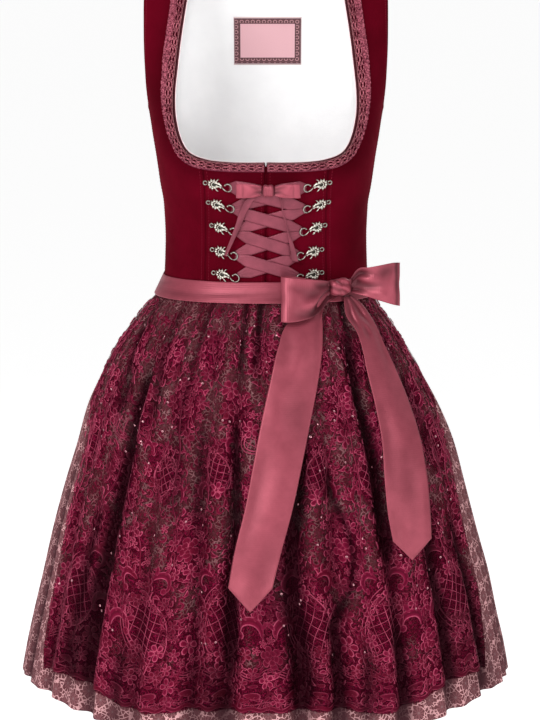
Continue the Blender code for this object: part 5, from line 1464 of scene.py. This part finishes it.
# Fill kind: tries, radius range in millimetres, list, how much of it must be clear, and
# how many of those outside the bouquets are kept.
for tries, low, high, target, clear, stray in (
        (3000, 7.5, 10.5, flowers, 0.8, 0.0), (5000, 4.6, 6.2, small, 0.8, 0.05),
        (9000, 3.6, 5.6, curls, 0.66, 0.13), (16000, 3.4, 6.0, leaves, 0.5, 0.13)):
    for _ in range(tries):
        x, y = fill_rng.uniform(-0.35, 0.35), fill_rng.uniform(0.007, APRON_LENGTH + 0.015)
        radius = fill_rng.uniform(low, high) * MM
        turn, chance = fill_rng.uniform(0, 360), fill_rng.uniform()
        if (worked(x, y) > 0 or chance < stray) and free(x, y, radius * clear):
            taken.append((x, y, radius * clear))
            size = 2 * radius if target in (curls, leaves) else radius
            target.append((x, y, turn, size, size))

EMBROIDERY_LIFT, WHOLE = 0.15 * MM, [(0, 0, 0, 1, 1)]
for seed, (kind, rows, drawing) in enumerate((
        ("flowers", flowers, blossom(0.12, 0.66, 8, 0.76)), ("roses", roses, rose()),
        ("small_flowers", small, blossom(0.1, 0.62, 7, 0.66)), ("leaves", leaves, leaf()),
        ("curls", curls, curl()), ("trellis", WHOLE, trellis), ("scrolls", WHOLE, scrolls),
        ("hem", WHOLE, hem_border)), 1):
    motif = drawing.motif(kind, raspberry)
    piece = set_out_on(apron, "embroidery_" + kind, rows, motif, raspberry, EMBROIDERY_LIFT, seed)
    fit(piece, "lace", "apron")
    bpy.data.objects.remove(motif)


# Sequins: small cupped pearly discs, each sewn on through its middle.
sequin_look = Finish("pearly sequin", Base_Color=(0.6, 0.28, 0.32), Roughness=0.28,
                     Metallic=0.6, Specular_IOR_Level=0.6)
SEQUINS, SEQUIN_RADIUS, SEQUIN_CUP, SEQUIN_LIFT = 190, 1.25 * MM, 0.55 * MM, 0.9 * MM
disc = Drawing()
for radius, rise in ((1.0, SEQUIN_CUP), (0.3, 0.15 * MM)):
    disc.add([(*place, rise) for place in circle((0, 0), radius, 45)], [1.0] * 8, [])
disc.faces = [(i, (i + 1) % 8, 8 + (i + 1) % 8, 8 + i) for i in range(8)]
sequin = disc.motif("sequin", sequin_look)
rows = []
for _ in range(SEQUINS):
    x, y = fill_rng.uniform(-0.345, 0.345), APRON_LENGTH * fill_rng.uniform(0.02, 1) ** 0.55
    rows.append((x, y, fill_rng.uniform(0, 90), SEQUIN_RADIUS, SEQUIN_RADIUS))
fit(set_out_on(apron, "sequins", rows, sequin, sequin_look, SEQUIN_LIFT, 9), "lace", "apron")
bpy.data.objects.remove(sequin)


# Topstitching: a row of short stitches in burgundy thread beside every seam, opening and
# armhole of the bodice, sewn through the velvet and its interlining.
STITCH_LENGTH, STITCH_WIDTH, STITCH_LIFT = 2.4 * MM, 0.6 * MM, 0.05 * MM
STITCH_PITCH, STITCH_INSET = 3.2 * MM, 4.5 * MM
seam_thread = Finish("burgundy thread", Roughness=0.6, Specular_IOR_Level=0.08)
twist = seam_thread.grain(2500.0, 1.0)
seam_thread.colour(seam_thread.blend(twist, (0.12, 0.003, 0.012), (0.22, 0.012, 0.032)))
seam_thread.bump(twist, 0.1 * MM, 0.5)
stitch = Drawing()
stitch.patch(petal(0, -0.5, 0.5, 1.0, 0.0, 6), 0.5)
one_stitch = stitch.motif("one_stitch", seam_thread)

for node_name, places in panels.items():
    across, along = running(gaps(places, 1)), running(gaps(places[:, 0]))
    i, j = (part // 2 for part in places.shape[:2])
    drawn = np.cross(places[i, j + 1] - places[i, j], places[i + 1, j] - places[i, j])
    hand = np.sign(drawn @ grid_normals(places)[i, j])
    guide = cloth("stitch_guide", places, velvet, 0.0,
                  cut=np.stack([hand * across, along[:, None] + 0 * across], axis=-1))
    rows = []
    for at in np.arange(2 * MM, along[-1] - 2 * MM, STITCH_PITCH):
        width = float(np.interp(at, along, across[:, -1]))
        for x in (STITCH_INSET, width - STITCH_INSET):
            rows.append((hand * x, at, 90, STITCH_LENGTH, STITCH_WIDTH))
    name = node_name.replace("bodice", "topstitching")
    piece = set_out_on(guide, name, rows, one_stitch, seam_thread, STITCH_LIFT, 5)
    fit(piece, "velvet", node_name)
    bpy.data.objects.remove(guide)
bpy.data.objects.remove(one_stitch)


# Neck edging: the velvet edge is bound with a thin dark red piping, and the pale lining shows
# as a lip inside it. Outside lies a dusty rose trim, sewn on by its dark ground: a narrow
# cord, a plaited braid like an ear of wheat, and two rows of chenille in loose fluff.
TRIM_START, TRIM_WIDTH, TRIM_OUT, TRIM_CLOTH = 0.8 * MM, 16.5 * MM, 0.9 * MM, 0.6 * MM
TRIM_NARROW, NARROW_BELOW, WIDE_ABOVE = 10.4 * MM, -0.215, -0.12
PIPING_RADIUS, PIPING_GAP, LIP_RADIUS = 1.0 * MM, -0.7 * MM, 0.55 * MM
UNDER_SHOULDER, EDGE_COUNT, TRIM_LIFT = -1.2 * MM, 240, 0.1 * MM


def softened(values, reach):
    """The values averaged with as many neighbours on each side as reach says."""
    count = 2 * reach + 1
    return np.convolve(np.pad(values, reach, "edge"), np.ones(count) / count, "valid")


def neck_edge(back):
    """Half the neckline from its middle to the shoulder: x, z and the turn into the panel."""
    if back:
        rows = np.linspace(BACK_NECK, len(BACK_MIDDLE) - 1, 200)
        angle, z = seam_lines["back_centre"][0](rows)
    else:
        angle, z = panel_grid("front_centre", 1, columns_of(0, 1, 80), np.array([NECK_CORNER]))
        rows = np.linspace(NECK_CORNER, len(FRONT_SEAM) - 1, 300)[1:]
        up_angle, up_z = seam_lines["front_side"][0](rows)
        angle, z = np.concatenate([angle[0], up_angle]), np.concatenate([z[0], up_z])
    x = read(BODY, z, "half") * np.abs(np.sin(np.radians(angle))) ** (2 / ROUNDNESS)
    along = running(np.hypot(np.diff(x), np.diff(z)))
    even = np.linspace(0, along[-1], EDGE_COUNT)
    x, z = np.interp(even, along, x), np.interp(even, along, z)
    dx, dz = (softened(np.gradient(part), 6) for part in (x, z))
    turn = np.arctan2(dz, dx)
    turn[0] = 0.0
    return x, z, turn


def beside_neck(back, side, distance, out):
    """Places at a distance into the panel from its neck edge, and that far off it."""
    x, z, turn = (part[:, None] for part in neck_edge(back))
    distance = np.asarray(distance, float) + 0 * x
    start = body(side * angle_at(x, z, back), z)
    reach = distance.copy()
    for _ in range(4):
        px = x + np.sin(turn) * reach
        pz = np.minimum(z - np.cos(turn) * reach, UNDER_SHOULDER)
        angle = side * angle_at(px, pz, back)
        places = body(angle, pz)
        covered = np.linalg.norm(places - start, axis=2)
        reach = np.where(distance > 0, reach * distance / np.maximum(covered, 0.1 * MM), 0)
    places = places + facing(body, angle, pz) * out
    even = np.stack([softened(column, 7) for column in places.reshape(EDGE_COUNT, -1).T], axis=1)
    share = clipped(np.minimum(np.arange(EDGE_COUNT), np.arange(EDGE_COUNT)[::-1]) / 12)
    return places + (even.reshape(places.shape) - places) * share[:, None, None]


def trim_width(back):
    """The trim's width along the neckline, which is narrow under the front corners."""
    z = neck_edge(back)[1][:, None]
    share = 1.0 if back else part_way(z, NARROW_BELOW, WIDE_ABOVE)
    return TRIM_NARROW + (TRIM_WIDTH - TRIM_NARROW) * share + 0 * z


def tube(route, radius, sides=12):
    """Places round a route, drawn in to a point at both ends."""
    run = unit(np.gradient(route, axis=0))
    side = unit(np.cross(run, (0.0, -1.0, 0.0)))
    up = np.cross(side, run)
    turn = np.linspace(0, 2 * np.pi, sides + 1)[None, :, None]
    along = np.linspace(0, len(route) - 1, len(route))
    ends = np.minimum(along, along[::-1])
    girth = np.sqrt(1 - clipped(1 - ends / 3) ** 2)[:, None, None] * radius
    return route[:, None] + girth * (np.cos(turn) * side[:, None] + np.sin(turn) * up[:, None])


def braid_finish(name, dark, light):
    finish = Finish(name, Roughness=0.75, Specular_IOR_Level=0.05)
    fibre = finish.grain(560.0, 3.0, 0.75)
    finish.colour(finish.blend(finish.mark("tint") * 0.35 + (fibre - 0.42) * 3.0, dark, light))
    finish.bump(fibre, 0.4 * MM, 0.8)
    return finish


wheat = braid_finish("dusty rose plait", (0.07, 0.005, 0.013), (0.6, 0.185, 0.23))
chenille = braid_finish("dusty rose chenille", (0.06, 0.0035, 0.012), (0.57, 0.15, 0.205))
cord_edge = braid_finish("rose brown cord", (0.13, 0.04, 0.05), (0.32, 0.13, 0.14))
CHENILLE_FROM = 9 * MM     # distance across the trim at which the chenille starts
braid_ground = Finish("dark braid ground", Roughness=0.9, Specular_IOR_Level=0.02)
under = braid_ground.split(braid_ground.cut())[1]
speck = braid_ground.weave(900.0, 2.0, 0.7)
outer = braid_ground.blend(speck, (0.06, 0.004, 0.014), (0.26, 0.05, 0.085))
braid_ground.colour(braid_ground.blend(under > CHENILLE_FROM, (0.03, 0.0016, 0.005), outer))
piping = Finish("dark red piping", Roughness=0.65, Sheen_Weight=0.1, Specular_IOR_Level=0.2)
twist = piping.grain(900.0, 2.0)
piping.colour(piping.blend(twist, (0.03, 0.0012, 0.004), (0.075, 0.004, 0.012)))
piping.bump(twist, 0.2 * MM, 0.5)
lip_cotton = Finish("pale lining lip", Base_Color=(0.8, 0.62, 0.64), Roughness=0.85)

# Flat units of the trim: the plait in millimetres, the others of unit length.
PLAIT_PITCH, PLAIT_COLUMN, PLAIT_SWING = 9.4, 1.75, 1.55
strands, lump, stitch, fibre = Drawing(), Drawing(), Drawing(), Drawing()
x = np.linspace(-PLAIT_PITCH / 2, PLAIT_PITCH / 2, 11)
for column in (-PLAIT_COLUMN, PLAIT_COLUMN):
    for lean in (-1, 1):
        y = column + lean * PLAIT_SWING * np.cos(np.pi * x / PLAIT_PITCH)
        strands.band(np.stack([x, y], axis=1), 0.95, corded=False)
for lean in (38, -38):
    for end in (-PLAIT_PITCH / 2, PLAIT_PITCH / 2):
        strands.patch(petal(lean, -2.3, 2.3, 1.0, 0.2, 8) + (end, 0), 1.5)
for turn, reach in ((0, 0.46), (60, 0.5), (120, 0.44), (180, 0.52), (240, 0.46), (300, 0.5)):
    lump.patch(petal(turn, 0.05, reach, 0.44, 0.0, 7), 1.6)
stitch.patch(petal(0, -0.5, 0.5, 0.55, 0.0, 8), 1.2)
fibre.add([(-0.5, -0.2, 0), (-0.5, 0.2, 0), (0.1, 0.16, 0.8 * MM), (0.1, -0.16, 0.8 * MM),
           (0.6, 0, 1.5 * MM)], [0, 0, 0.5, 0.5, 1], [(0, 1, 2, 3), (3, 2, 4)])
# Each unit and its finish.
UNITS = {kind: (drawing.motif(kind, look), look) for kind, drawing, look in (
    ("plait", strands, wheat), ("chenille", lump, chenille), ("cord", stitch, cord_edge),
    ("fluff", fibre, chenille))}
CHENILLE_PITCH, CHENILLE_ROW, CHENILLE_ROWS = 2.9 * MM, 11.2, 3.2
CORD_PITCH, FLUFF_PITCH = 1.35 * MM, 0.16 * MM
trim_rng = np.random.default_rng(21)


def trim_rows(length):
    """Where the units lie along a trim: x along it, y across it from the neck side."""
    rows = {kind: [] for kind in UNITS}
    for k in range(int(length / (PLAIT_PITCH * MM))):
        rows["plait"].append(((k + 0.5) * PLAIT_PITCH * MM, 5.3 * MM, 0, MM, MM))
    for k in range(int(length / CHENILLE_PITCH)):
        size = trim_rng.uniform(3.6, 4.8) * MM
        rows["chenille"].append(((k + trim_rng.uniform(0.3, 0.7)) * CHENILLE_PITCH,
                                 (CHENILLE_ROW + CHENILLE_ROWS * (k % 2)) * MM,
                                 trim_rng.uniform(0, 60), size, size))
    for k in range(int(length / CORD_PITCH)):
        rows["cord"].append(((k + 0.5) * CORD_PITCH, 0.9 * MM, 40, 2.1 * MM, 1.8 * MM))
    for _ in range(int(length / FLUFF_PITCH)):
        size = trim_rng.uniform(1.9, 3.2) * MM
        rows["fluff"].append((trim_rng.uniform(0, length), trim_rng.uniform(8.6, 16.2) * MM,
                              trim_rng.uniform(0, 360), size, size))
    return rows


for back, part in ((False, "front"), (True, "back")):
    for side, hand in SIDES.items():
        first = 0 if back else 1
        across = TRIM_START + trim_width(back) * columns_of(0, 1, 12)
        places = beside_neck(back, side, across, TRIM_OUT)[first:]
        along = running(gaps(places[:, 6]))
        length = float(along[-1])
        flat_u = along if side == LEFT else length - along
        cut = np.stack(np.broadcast_arrays(flat_u[:, None], across[first:] - TRIM_START), axis=-1)
        if side == LEFT:
            cut = cut * (-1, 1)
        base = cloth(f"braid_ground_{part}_{hand}", places, braid_ground, 0.0, cut=cut)
        node_name = f"neck_trim_{part}_{hand}"
        for kind, rows in trim_rows(length).items():
            rows = [(-x if side == LEFT else length - x, *row) for x, *row in rows]
            name = f"braid_{kind}_{part}_{hand}"
            fit(set_out_on(base, name, rows, *UNITS[kind], TRIM_LIFT, 3), "braid", node_name)
        thicken(base, TRIM_CLOTH)
        fit(base, "braid", node_name)

        edge, further_in = (beside_neck(back, side, [distance], -VELVET / 2)[:, 0]
                            for distance in (0.0, 2 * MM))
        away = unit(edge - further_in)
        lip_at = 2 * PIPING_RADIUS + PIPING_GAP + 0.5 * LIP_RADIUS
        for name, at, radius, look in (("piping", PIPING_RADIUS + PIPING_GAP, PIPING_RADIUS, piping),
                                       ("lining_lip", lip_at, LIP_RADIUS, lip_cotton)):
            route = edge + away * at
            route[0, 0] = side * SEAM_GAP / 2
            cord = cloth(f"{name}_{part}_{hand}", tube(route, radius), look, 0.0)
            close(cord)
            fit(cord, "piping", f"neck_piping_{part}_{hand}")
for unit_piece, _ in UNITS.values():
    bpy.data.objects.remove(unit_piece)


# Hooks: five pairs of cast antique-silver hooks, each a beaded rosette with leafy points,
# sewn on by its small ring, and an open eye on a bent neck that holds the lacing.
silver = Finish("antique silver", Metallic=1.0, Roughness=0.38)
# Tarnish and painted shade, marked on the hook: dark where it is marked high.
tarnish_and_shade_mark = silver.mark("tarnish_and_shade")
cast = silver.grain(700.0, 3.0, 0.6)
silver.colour(silver.blend(tarnish_and_shade_mark + (cast - 0.5) * 0.35, (0.74, 0.7, 0.62), (0.026, 0.022, 0.016)))
silver.bump(cast, 0.12 * MM, 0.5)

shape = bmesh.new()


def bead(place, size):
    """A cast bead, in millimetres in the hook's frame."""
    made = bmesh.ops.create_icosphere(shape, subdivisions=2, radius=1.0)
    for vertex in made["verts"]:
        vertex.co = Vector(place) + Vector([a * b for a, b in zip(vertex.co, size)])


def wire(route, radius):
    """A cast wire along a route of millimetres, with closed ends."""
    places = tube(np.array(route, float)[:, (0, 2, 1)] * (1, -1, 1), radius, 8)
    places = places[:, :-1, (0, 2, 1)] * (1, 1, -1)
    rings = [[shape.verts.new(place) for place in ring] for ring in places]
    for a, b in zip(rings, rings[1:]):
        for i in range(8):
            j = (i + 1) % 8
            shape.faces.new((a[i], a[j], b[j], b[i]))
    shape.faces.new(rings[0])
    shape.faces.new(rings[-1][::-1])


def arc(centre, radius, start, end, count=20, height=0.0):
    turns = np.radians(np.linspace(start, end, count))
    return [(centre[0] + radius * math.cos(a), centre[1] + radius * math.sin(a), height)
            for a in turns]


# The rosette: a ring of beads round a wire on its plate.
ROSETTE_Y = 1.2
for a in np.radians(range(42, 340, 37)):
    bead((4.4 * math.cos(a), ROSETTE_Y + 4.2 * math.sin(a), 0.5), (1.45, 1.3, 1.15))
wire(arc((1.0, 1.1), 2.6, 50, 310, 20, 0.8), 0.5)
# Two flat discs low on the plate, painted almost black by the tarnish and shade mark: painted shade
# where the rosette is open in its middle.
bead((1.4, 1.0, -0.35), (3.3, 2.9, 0.35))
bead((5.4, 0.7, -0.45), (2.2, 0.9, 0.3))
# The leafy points, the two strands of the neck and the thin wire on to the eye.
for radius, route in (
        (0.85, [(-1.5, 5.1, 0.3), (-2.3, 6.3, 0.4), (-3, 7.6, 0.3)]),
        (0.8, [(0.7, 5.5, 0.4), (0.95, 6.7, 0.4), (1.6, 7.7, 0.3)]),
        (0.82, [(2.8, 4.1, 0.4), (3.9, 5.8, 0.5), (5.1, 7, 0.4), (6.7, 7.5, 0.3)]),
        (0.9, [(2.6, -2.8, 0.4), (3.8, -4.4, 0.5), (5.1, -5.6, 0.4), (6.6, -6.4, 0.3)]),
        (0.8, [(-2.3, -2.2, 0.3), (-3.1, -3.5, 0.3), (-3.6, -4.5, 0.2)]),
        (0.8, [(-0.3, -3.2, 0.3), (-0.7, -4.8, 0.3), (-0.5, -5.9, 0.2)]),
        (0.76, [(-4.2, 3.5, 0.2), (-5.3, 4.3, 0.2), (-6.1, 5.4, 0.1)]),
        (0.9, [(0.4, 2.6, 0.5), (2.6, 2.9, 0.6), (5.0, 2.7, 0.6), (7.4, 2.2, 0.6), (9.2, 1.0, 0.5),
                (10.4, -0.9, 0.4)]),
        (0.82, [(1.0, -0.9, 0.5), (3.6, -1.0, 0.5), (5.8, -0.6, 0.5), (7.8, -0.9, 0.5),
                (9.6, -1.2, 0.4)]),
        (0.78, [(9.6, -0.4, 0.4), (11.2, -2.4, 0.2), (13.2, -4.2, 0.1), (15.4, -5.2, 0.0),
                (17.4, -5.4, 0.0)])):
    wire(route, radius)
for x, y in ((6.4, 3.1), (8.3, 0.6), (8.7, -1.5), (4.4, -1.3)):
    bead((x, y, 0.55), (1.05, 0.95, 0.85))
# The ring that it is sewn on by, and the open eye with its bead.
wire(arc((-9.0, 1.9), 2.1, 0, 360, 22), 0.68)
wire([(-6.9, 1.8, 0.0), (-5.4, 1.6, 0.2), (-4.0, 1.4, 0.3)], 0.8)
wire(arc((16.6, -1.1), 4.2, -100, 140, 26), 0.78)
bead(arc((16.6, -1.1), 4.2, 142, 142, 1, 0.1)[0], (1.0, 1.0, 0.9))
bmesh.ops.recalc_face_normals(shape, faces=shape.faces)
hook_places = np.array([vertex.co[:] for vertex in shape.verts])
shape.verts.index_update()
hook_faces = [[vertex.index for vertex in face.verts] for face in shape.faces]
shape.free()
# Darker the lower a place lies in the hook's frame: the silver's tarnish, and painted shade in its
# hollows, on the undersides of the beads and wires and over the flat discs in its middle.
tarnish_and_shade = clipped(1 - (hook_places[:, 2] + 0.15) / 1.35) ** 0.7
for side, hand in SIDES.items():
    for number, row in enumerate(HOOKS, 1):
        frame_here = hook_frame(side, row)
        places = [frame_here @ Vector((x * MM, -side * y * MM, z * MM)) for x, y, z in hook_places]
        faces = hook_faces if side == RIGHT else [face[::-1] for face in hook_faces]
        name = f"hook_cast_{hand}_{number}"
        piece = placed(name, new_mesh(name, places, faces, silver, {"tarnish_and_shade": tarnish_and_shade}))
        fit(piece, "silver", f"hook_{hand}_{number}")


# Bow: the ends of the waist ribbon tied over the wearer's left front in two soft loops
# with a tight knot, and left to hang in front of the apron.

# Each loop's way round from the knot, in millimetres: x, then y and z of the ribbon's upper
# edge and of its lower one.
LOOP_RIGHT = np.array([
    (70.3, -97.5, -371.5, -98, -389), (64, -103, -369.8, -108.5, -399.5),
    (56, -107.5, -368.4, -116, -406.5), (42, -111, -366.6, -123.5, -410.8),
    (28, -111.5, -365.2, -128, -412.6), (20.5, -109.5, -364.5, -127.5, -412.8),
    (16.5, -106, -364.5, -124.5, -412.5), (20.5, -102.5, -364.7, -121, -412.3),
    (32, -101.5, -365.5, -118.5, -410), (46, -100.5, -368, -113, -404), (60, -97.5, -370, -104, -397.5),
    (70.3, -92.5, -372.5, -93, -388),
]) * MM
LOOP_LEFT = np.array([
    (94.9, -85.5, -369.5, -85, -385), (102, -90, -358.5, -90, -386.5),
    (115, -95, -355.8, -95.5, -389.5), (130, -96, -353, -97.5, -394), (143, -93, -351, -95.5, -398),
    (149, -88, -351.5, -90.5, -399.5), (146, -82.5, -352.5, -85, -399), (133, -81, -355, -83.5, -394),
    (118, -80.5, -357.5, -83, -389.5), (104, -80, -361.5, -81, -386.5),
    (95.2, -80, -370, -79.5, -384.5),
]) * MM
BOW_KNOT = np.array((0.0815, -0.086, -0.379))
BOW_KNOT_TURN, KNOT_PINCH = 28.0, 0.22
BOW_KNOT_SIZE = np.array((12.8, 9.6, 10.5)) * MM
BOW_RIBBON = 50 * MM
BOW_PLEAT, BOW_PLEATED, BOW_SHADED = 1.2 * MM, 10 * MM, 5.5 * MM
TURN_AT, TURN_WIDTH = 46.5, 1.8        # percent of the way round, where the ribbon turns back
POINT_FROM = 0.88          # share of a hanging end where its cut point starts
KNOT_RIDGES, RIDGE_SLANT, RIDGE_START, RIDGE_DEEP = 6.5, 0.55, 0.6, 0.1
# Hanging ends: height, left and right edge as seen, and how far each lies off the crests.
# TIP is how far the cut point reaches below the last row.
TAIL_RIGHT = np.array([
    (-390.2, 68, 79, 9.5, 9.5), (-398, 49, 66, 8, 8), (-406, 34, 62.6, 8, 8), (-416, 23.4, 62.8, 8, 8),
    (-440, 13.5, 62.4, 8.5, 8.5), (-475.8, 4.6, 57.5, 8, 8), (-513.5, -4.1, 50, 8, 8),
    (-565.1, -14.1, 39.2, 8, 8), (-610.7, -22.9, 29, 8, 8.5), (-652.4, -33.5, 17.6, 8, 8.5),
    (-693.5, -41.1, 7.2, 8, 9),
]) * MM
TIP_RIGHT = -25.4 * MM
TAIL_LEFT = np.array([
    (-389.4, 87, 95.5, 10.5, 10.5), (-399, 87.5, 106.5, 8, 8), (-410, 89.5, 115, 8, 8),
    (-426, 100.5, 124.5, 8.5, 8), (-444, 106.9, 132.5, 8, 8.5), (-466.1, 111.5, 143, 8, 8.5),
    (-509.9, 122.1, 161, 8, 8), (-542.9, 128.2, 171.5, 8, 11.5), (-581, 130.8, 178.5, 8, 17),
    (-622.8, 134.7, 182.2, 8, 19), (-651, 140, 183.3, 8.5, 19),
]) * MM
TIP_LEFT = -21.6 * MM
# Soft dents and ridges of the loops: percent of the way round, metres from the upper edge,
# length, width, lean and depth. A depth below 0 is a ridge.
LOOP_CREASES = {
    "right": [(9, 0.034, 10, 10, 24, 6.4), (15, 0.045, 13, 7, 16, 3.6), (12, 0.008, 10, 6, -20, 2.0),
              (16, 0.03, 10, 6, 38, -2.6), (30, 0.04, 10, 8, 20, 2.0), (70, 0.025, 20, 8, 0, 2.0),
              (21, 0.019, 11, 8, 26, 2.2), (26, 0.033, 8, 5, 30, -1.6), (33, 0.012, 9, 6, -14, 1.3)],
    "left": [(7, 0.024, 7, 7, 6, 3.4), (12, 0.01, 10, 6, 10, 3.2), (19, 0.032, 14, 7, -16, 2.6),
             (17, 0.02, 12, 6, -8, -1.2), (36, 0.01, 8, 12, 40, 2.6), (34, 0.04, 9, 8, -20, -2.0),
             (9, 0.042, 8, 4, 10, 2.0), (70, 0.025, 20, 8, 0, 2.0)],
}
# The same on the hanging ends: millimetres across, height, length across, width along.
TAIL_CREASES = {
    "right": [(37, -0.512, 18, 40, 20, 3.0), (7, -0.432, 8, 22, 24, 1.4), (45, -0.43, 4, 32, 0, 1.6),
              (26, -0.446, 9, 34, -8, -1.6), (9, -0.6, 10, 50, 0, 2.0), (37, -0.668, 16, 36, 0, 2.0),
              (20, -0.7, 12, 16, 0, -1.4), (33, -0.59, 12, 36, -6, -1.4), (12, -0.5, 12, 32, 10, -1.4)],
    "left": [(33, -0.59, 18, 44, 8, 2.6), (10, -0.412, 6, 14, -14, 3.4), (34, -0.408, 6, 13, 10, 3.6),
             (23, -0.428, 7, 7, 0, 2.6), (43, -0.448, 8, 26, -6, 1.8), (9, -0.55, 9, 40, 0, 1.8),
             (11, -0.64, 10, 20, 0, 1.6), (28, -0.52, 14, 34, 6, -1.6), (42, -0.62, 8, 40, 0, -1.4)],
}
# Painted shade: the crease depths at which the loops and hanging ends are painted darkest, and how dark
# each loop is painted where it turns back.
LOOP_DARK, TAIL_DARK, TURN_DARK = 3.3 * MM, 10 * MM, {"right": 0.0, "left": 0.8}
UNDER_KNOT = 12 * MM       # how far down a hanging end the knot's shade reaches


def over_skirt(x, z, lift):
    """Places in front of the skirt's crests."""
    width = np.where(x > 0, read(SKIRT, z, "left"), read(SKIRT, z, "right")) + lift
    depth = read(SKIRT, z, "front") + lift
    power = skirt_roundness(z)
    return np.stack([x, -depth * (1 - (np.abs(x) / width) ** power) ** (1 / power), z + 0 * x],
                    axis=-1)


for hand, table, towards in (("right", LOOP_RIGHT, (-1, 0, 0)), ("left", LOOP_LEFT, (1, 0, 0))):
    rows = flowing(table[:, (0, 1, 2, 0, 3, 4)], 121)
    w = np.linspace(0, 1, 33)[None, :, None]
    places = rows[:, None, :3] * (1 - w) + rows[:, None, 3:] * w
    from_knot = np.abs(places[..., :1] - table[0, 0])
    pleats = np.exp(-from_knot / BOW_PLEATED) * BOW_PLEAT * np.cos(3.6 * np.pi * w + 0.8)
    percent = rows_of(0, 100, 121)
    crease = creased(percent, w[..., 0] * BOW_RIBBON, LOOP_CREASES[hand], MM)
    places = inwards(places, crease - pleats[..., 0], towards)
    shade = crease / LOOP_DARK + 0.9 * np.exp(-from_knot[..., 0] / BOW_SHADED)
    shade = shade + TURN_DARK[hand] * bell(percent - TURN_AT, TURN_WIDTH)
    ribbon("bow_loop_" + hand, places, satin, clipped(shade), towards)

for hand, table, drop in (("right", TAIL_RIGHT, TIP_RIGHT), ("left", TAIL_LEFT, TIP_LEFT)):
    z, x_a, x_b, lift_a, lift_b = flowing(table, 101, 1).T[..., None]
    w = columns_of(0, 1, 29)
    last = part_way(rows_of(0, 1, 101), POINT_FROM, 1)
    z = z + drop * (1 - np.abs(2 * w - 1)) * last
    crease = creased(50 * w + 0 * z, z, TAIL_CREASES[hand], MM)
    places = over_skirt(x_a + (x_b - x_a) * w, z, lift_a + (lift_b - lift_a) * w - crease)
    shade = clipped(crease / TAIL_DARK + np.exp((z - WAIST) / UNDER_KNOT))
    ribbon("bow_tail_" + hand, places, satin, shade)

turn, t = rows_of(0, 2 * np.pi, 65), columns_of(-1, 1, 41)
ball = np.stack([np.sin(np.pi / 2 * t) + 0 * turn, -np.cos(turn) * np.cos(np.pi / 2 * t),
                 np.sin(turn) * np.cos(np.pi / 2 * t)], axis=-1)
across = np.abs(ball[..., :1])
waisted = 1 - KNOT_PINCH * (1 - across) ** 2
full = 1 / (across ** 3 + (1 - across ** 2) ** 1.5) ** (1 / 3)
ridge = np.cos(KNOT_RIDGES * (ball[..., 2:] + RIDGE_SLANT * ball[..., :1]) - RIDGE_START)
waisted = waisted + RIDGE_DEEP * ridge * (1 - across ** 2)
places = ball * np.concatenate([np.ones_like(waisted), waisted, waisted], axis=-1)
places = places * BOW_KNOT_SIZE * full
spin = math.radians(BOW_KNOT_TURN)
places = places @ np.array(((math.cos(spin), math.sin(spin), 0),
                            (-math.sin(spin), math.cos(spin), 0), (0, 0, 1))) + BOW_KNOT
shade = 0.55 * clipped(-ridge) + 0.75 * across ** 6
knot = cloth("ribbon_bow_knot", places, satin, 0.0, towards=(0, -1, 0),
             marks={"valley": clipped(shade[..., 0])})
close(knot)
fit(knot, "satin", "bow_knot")
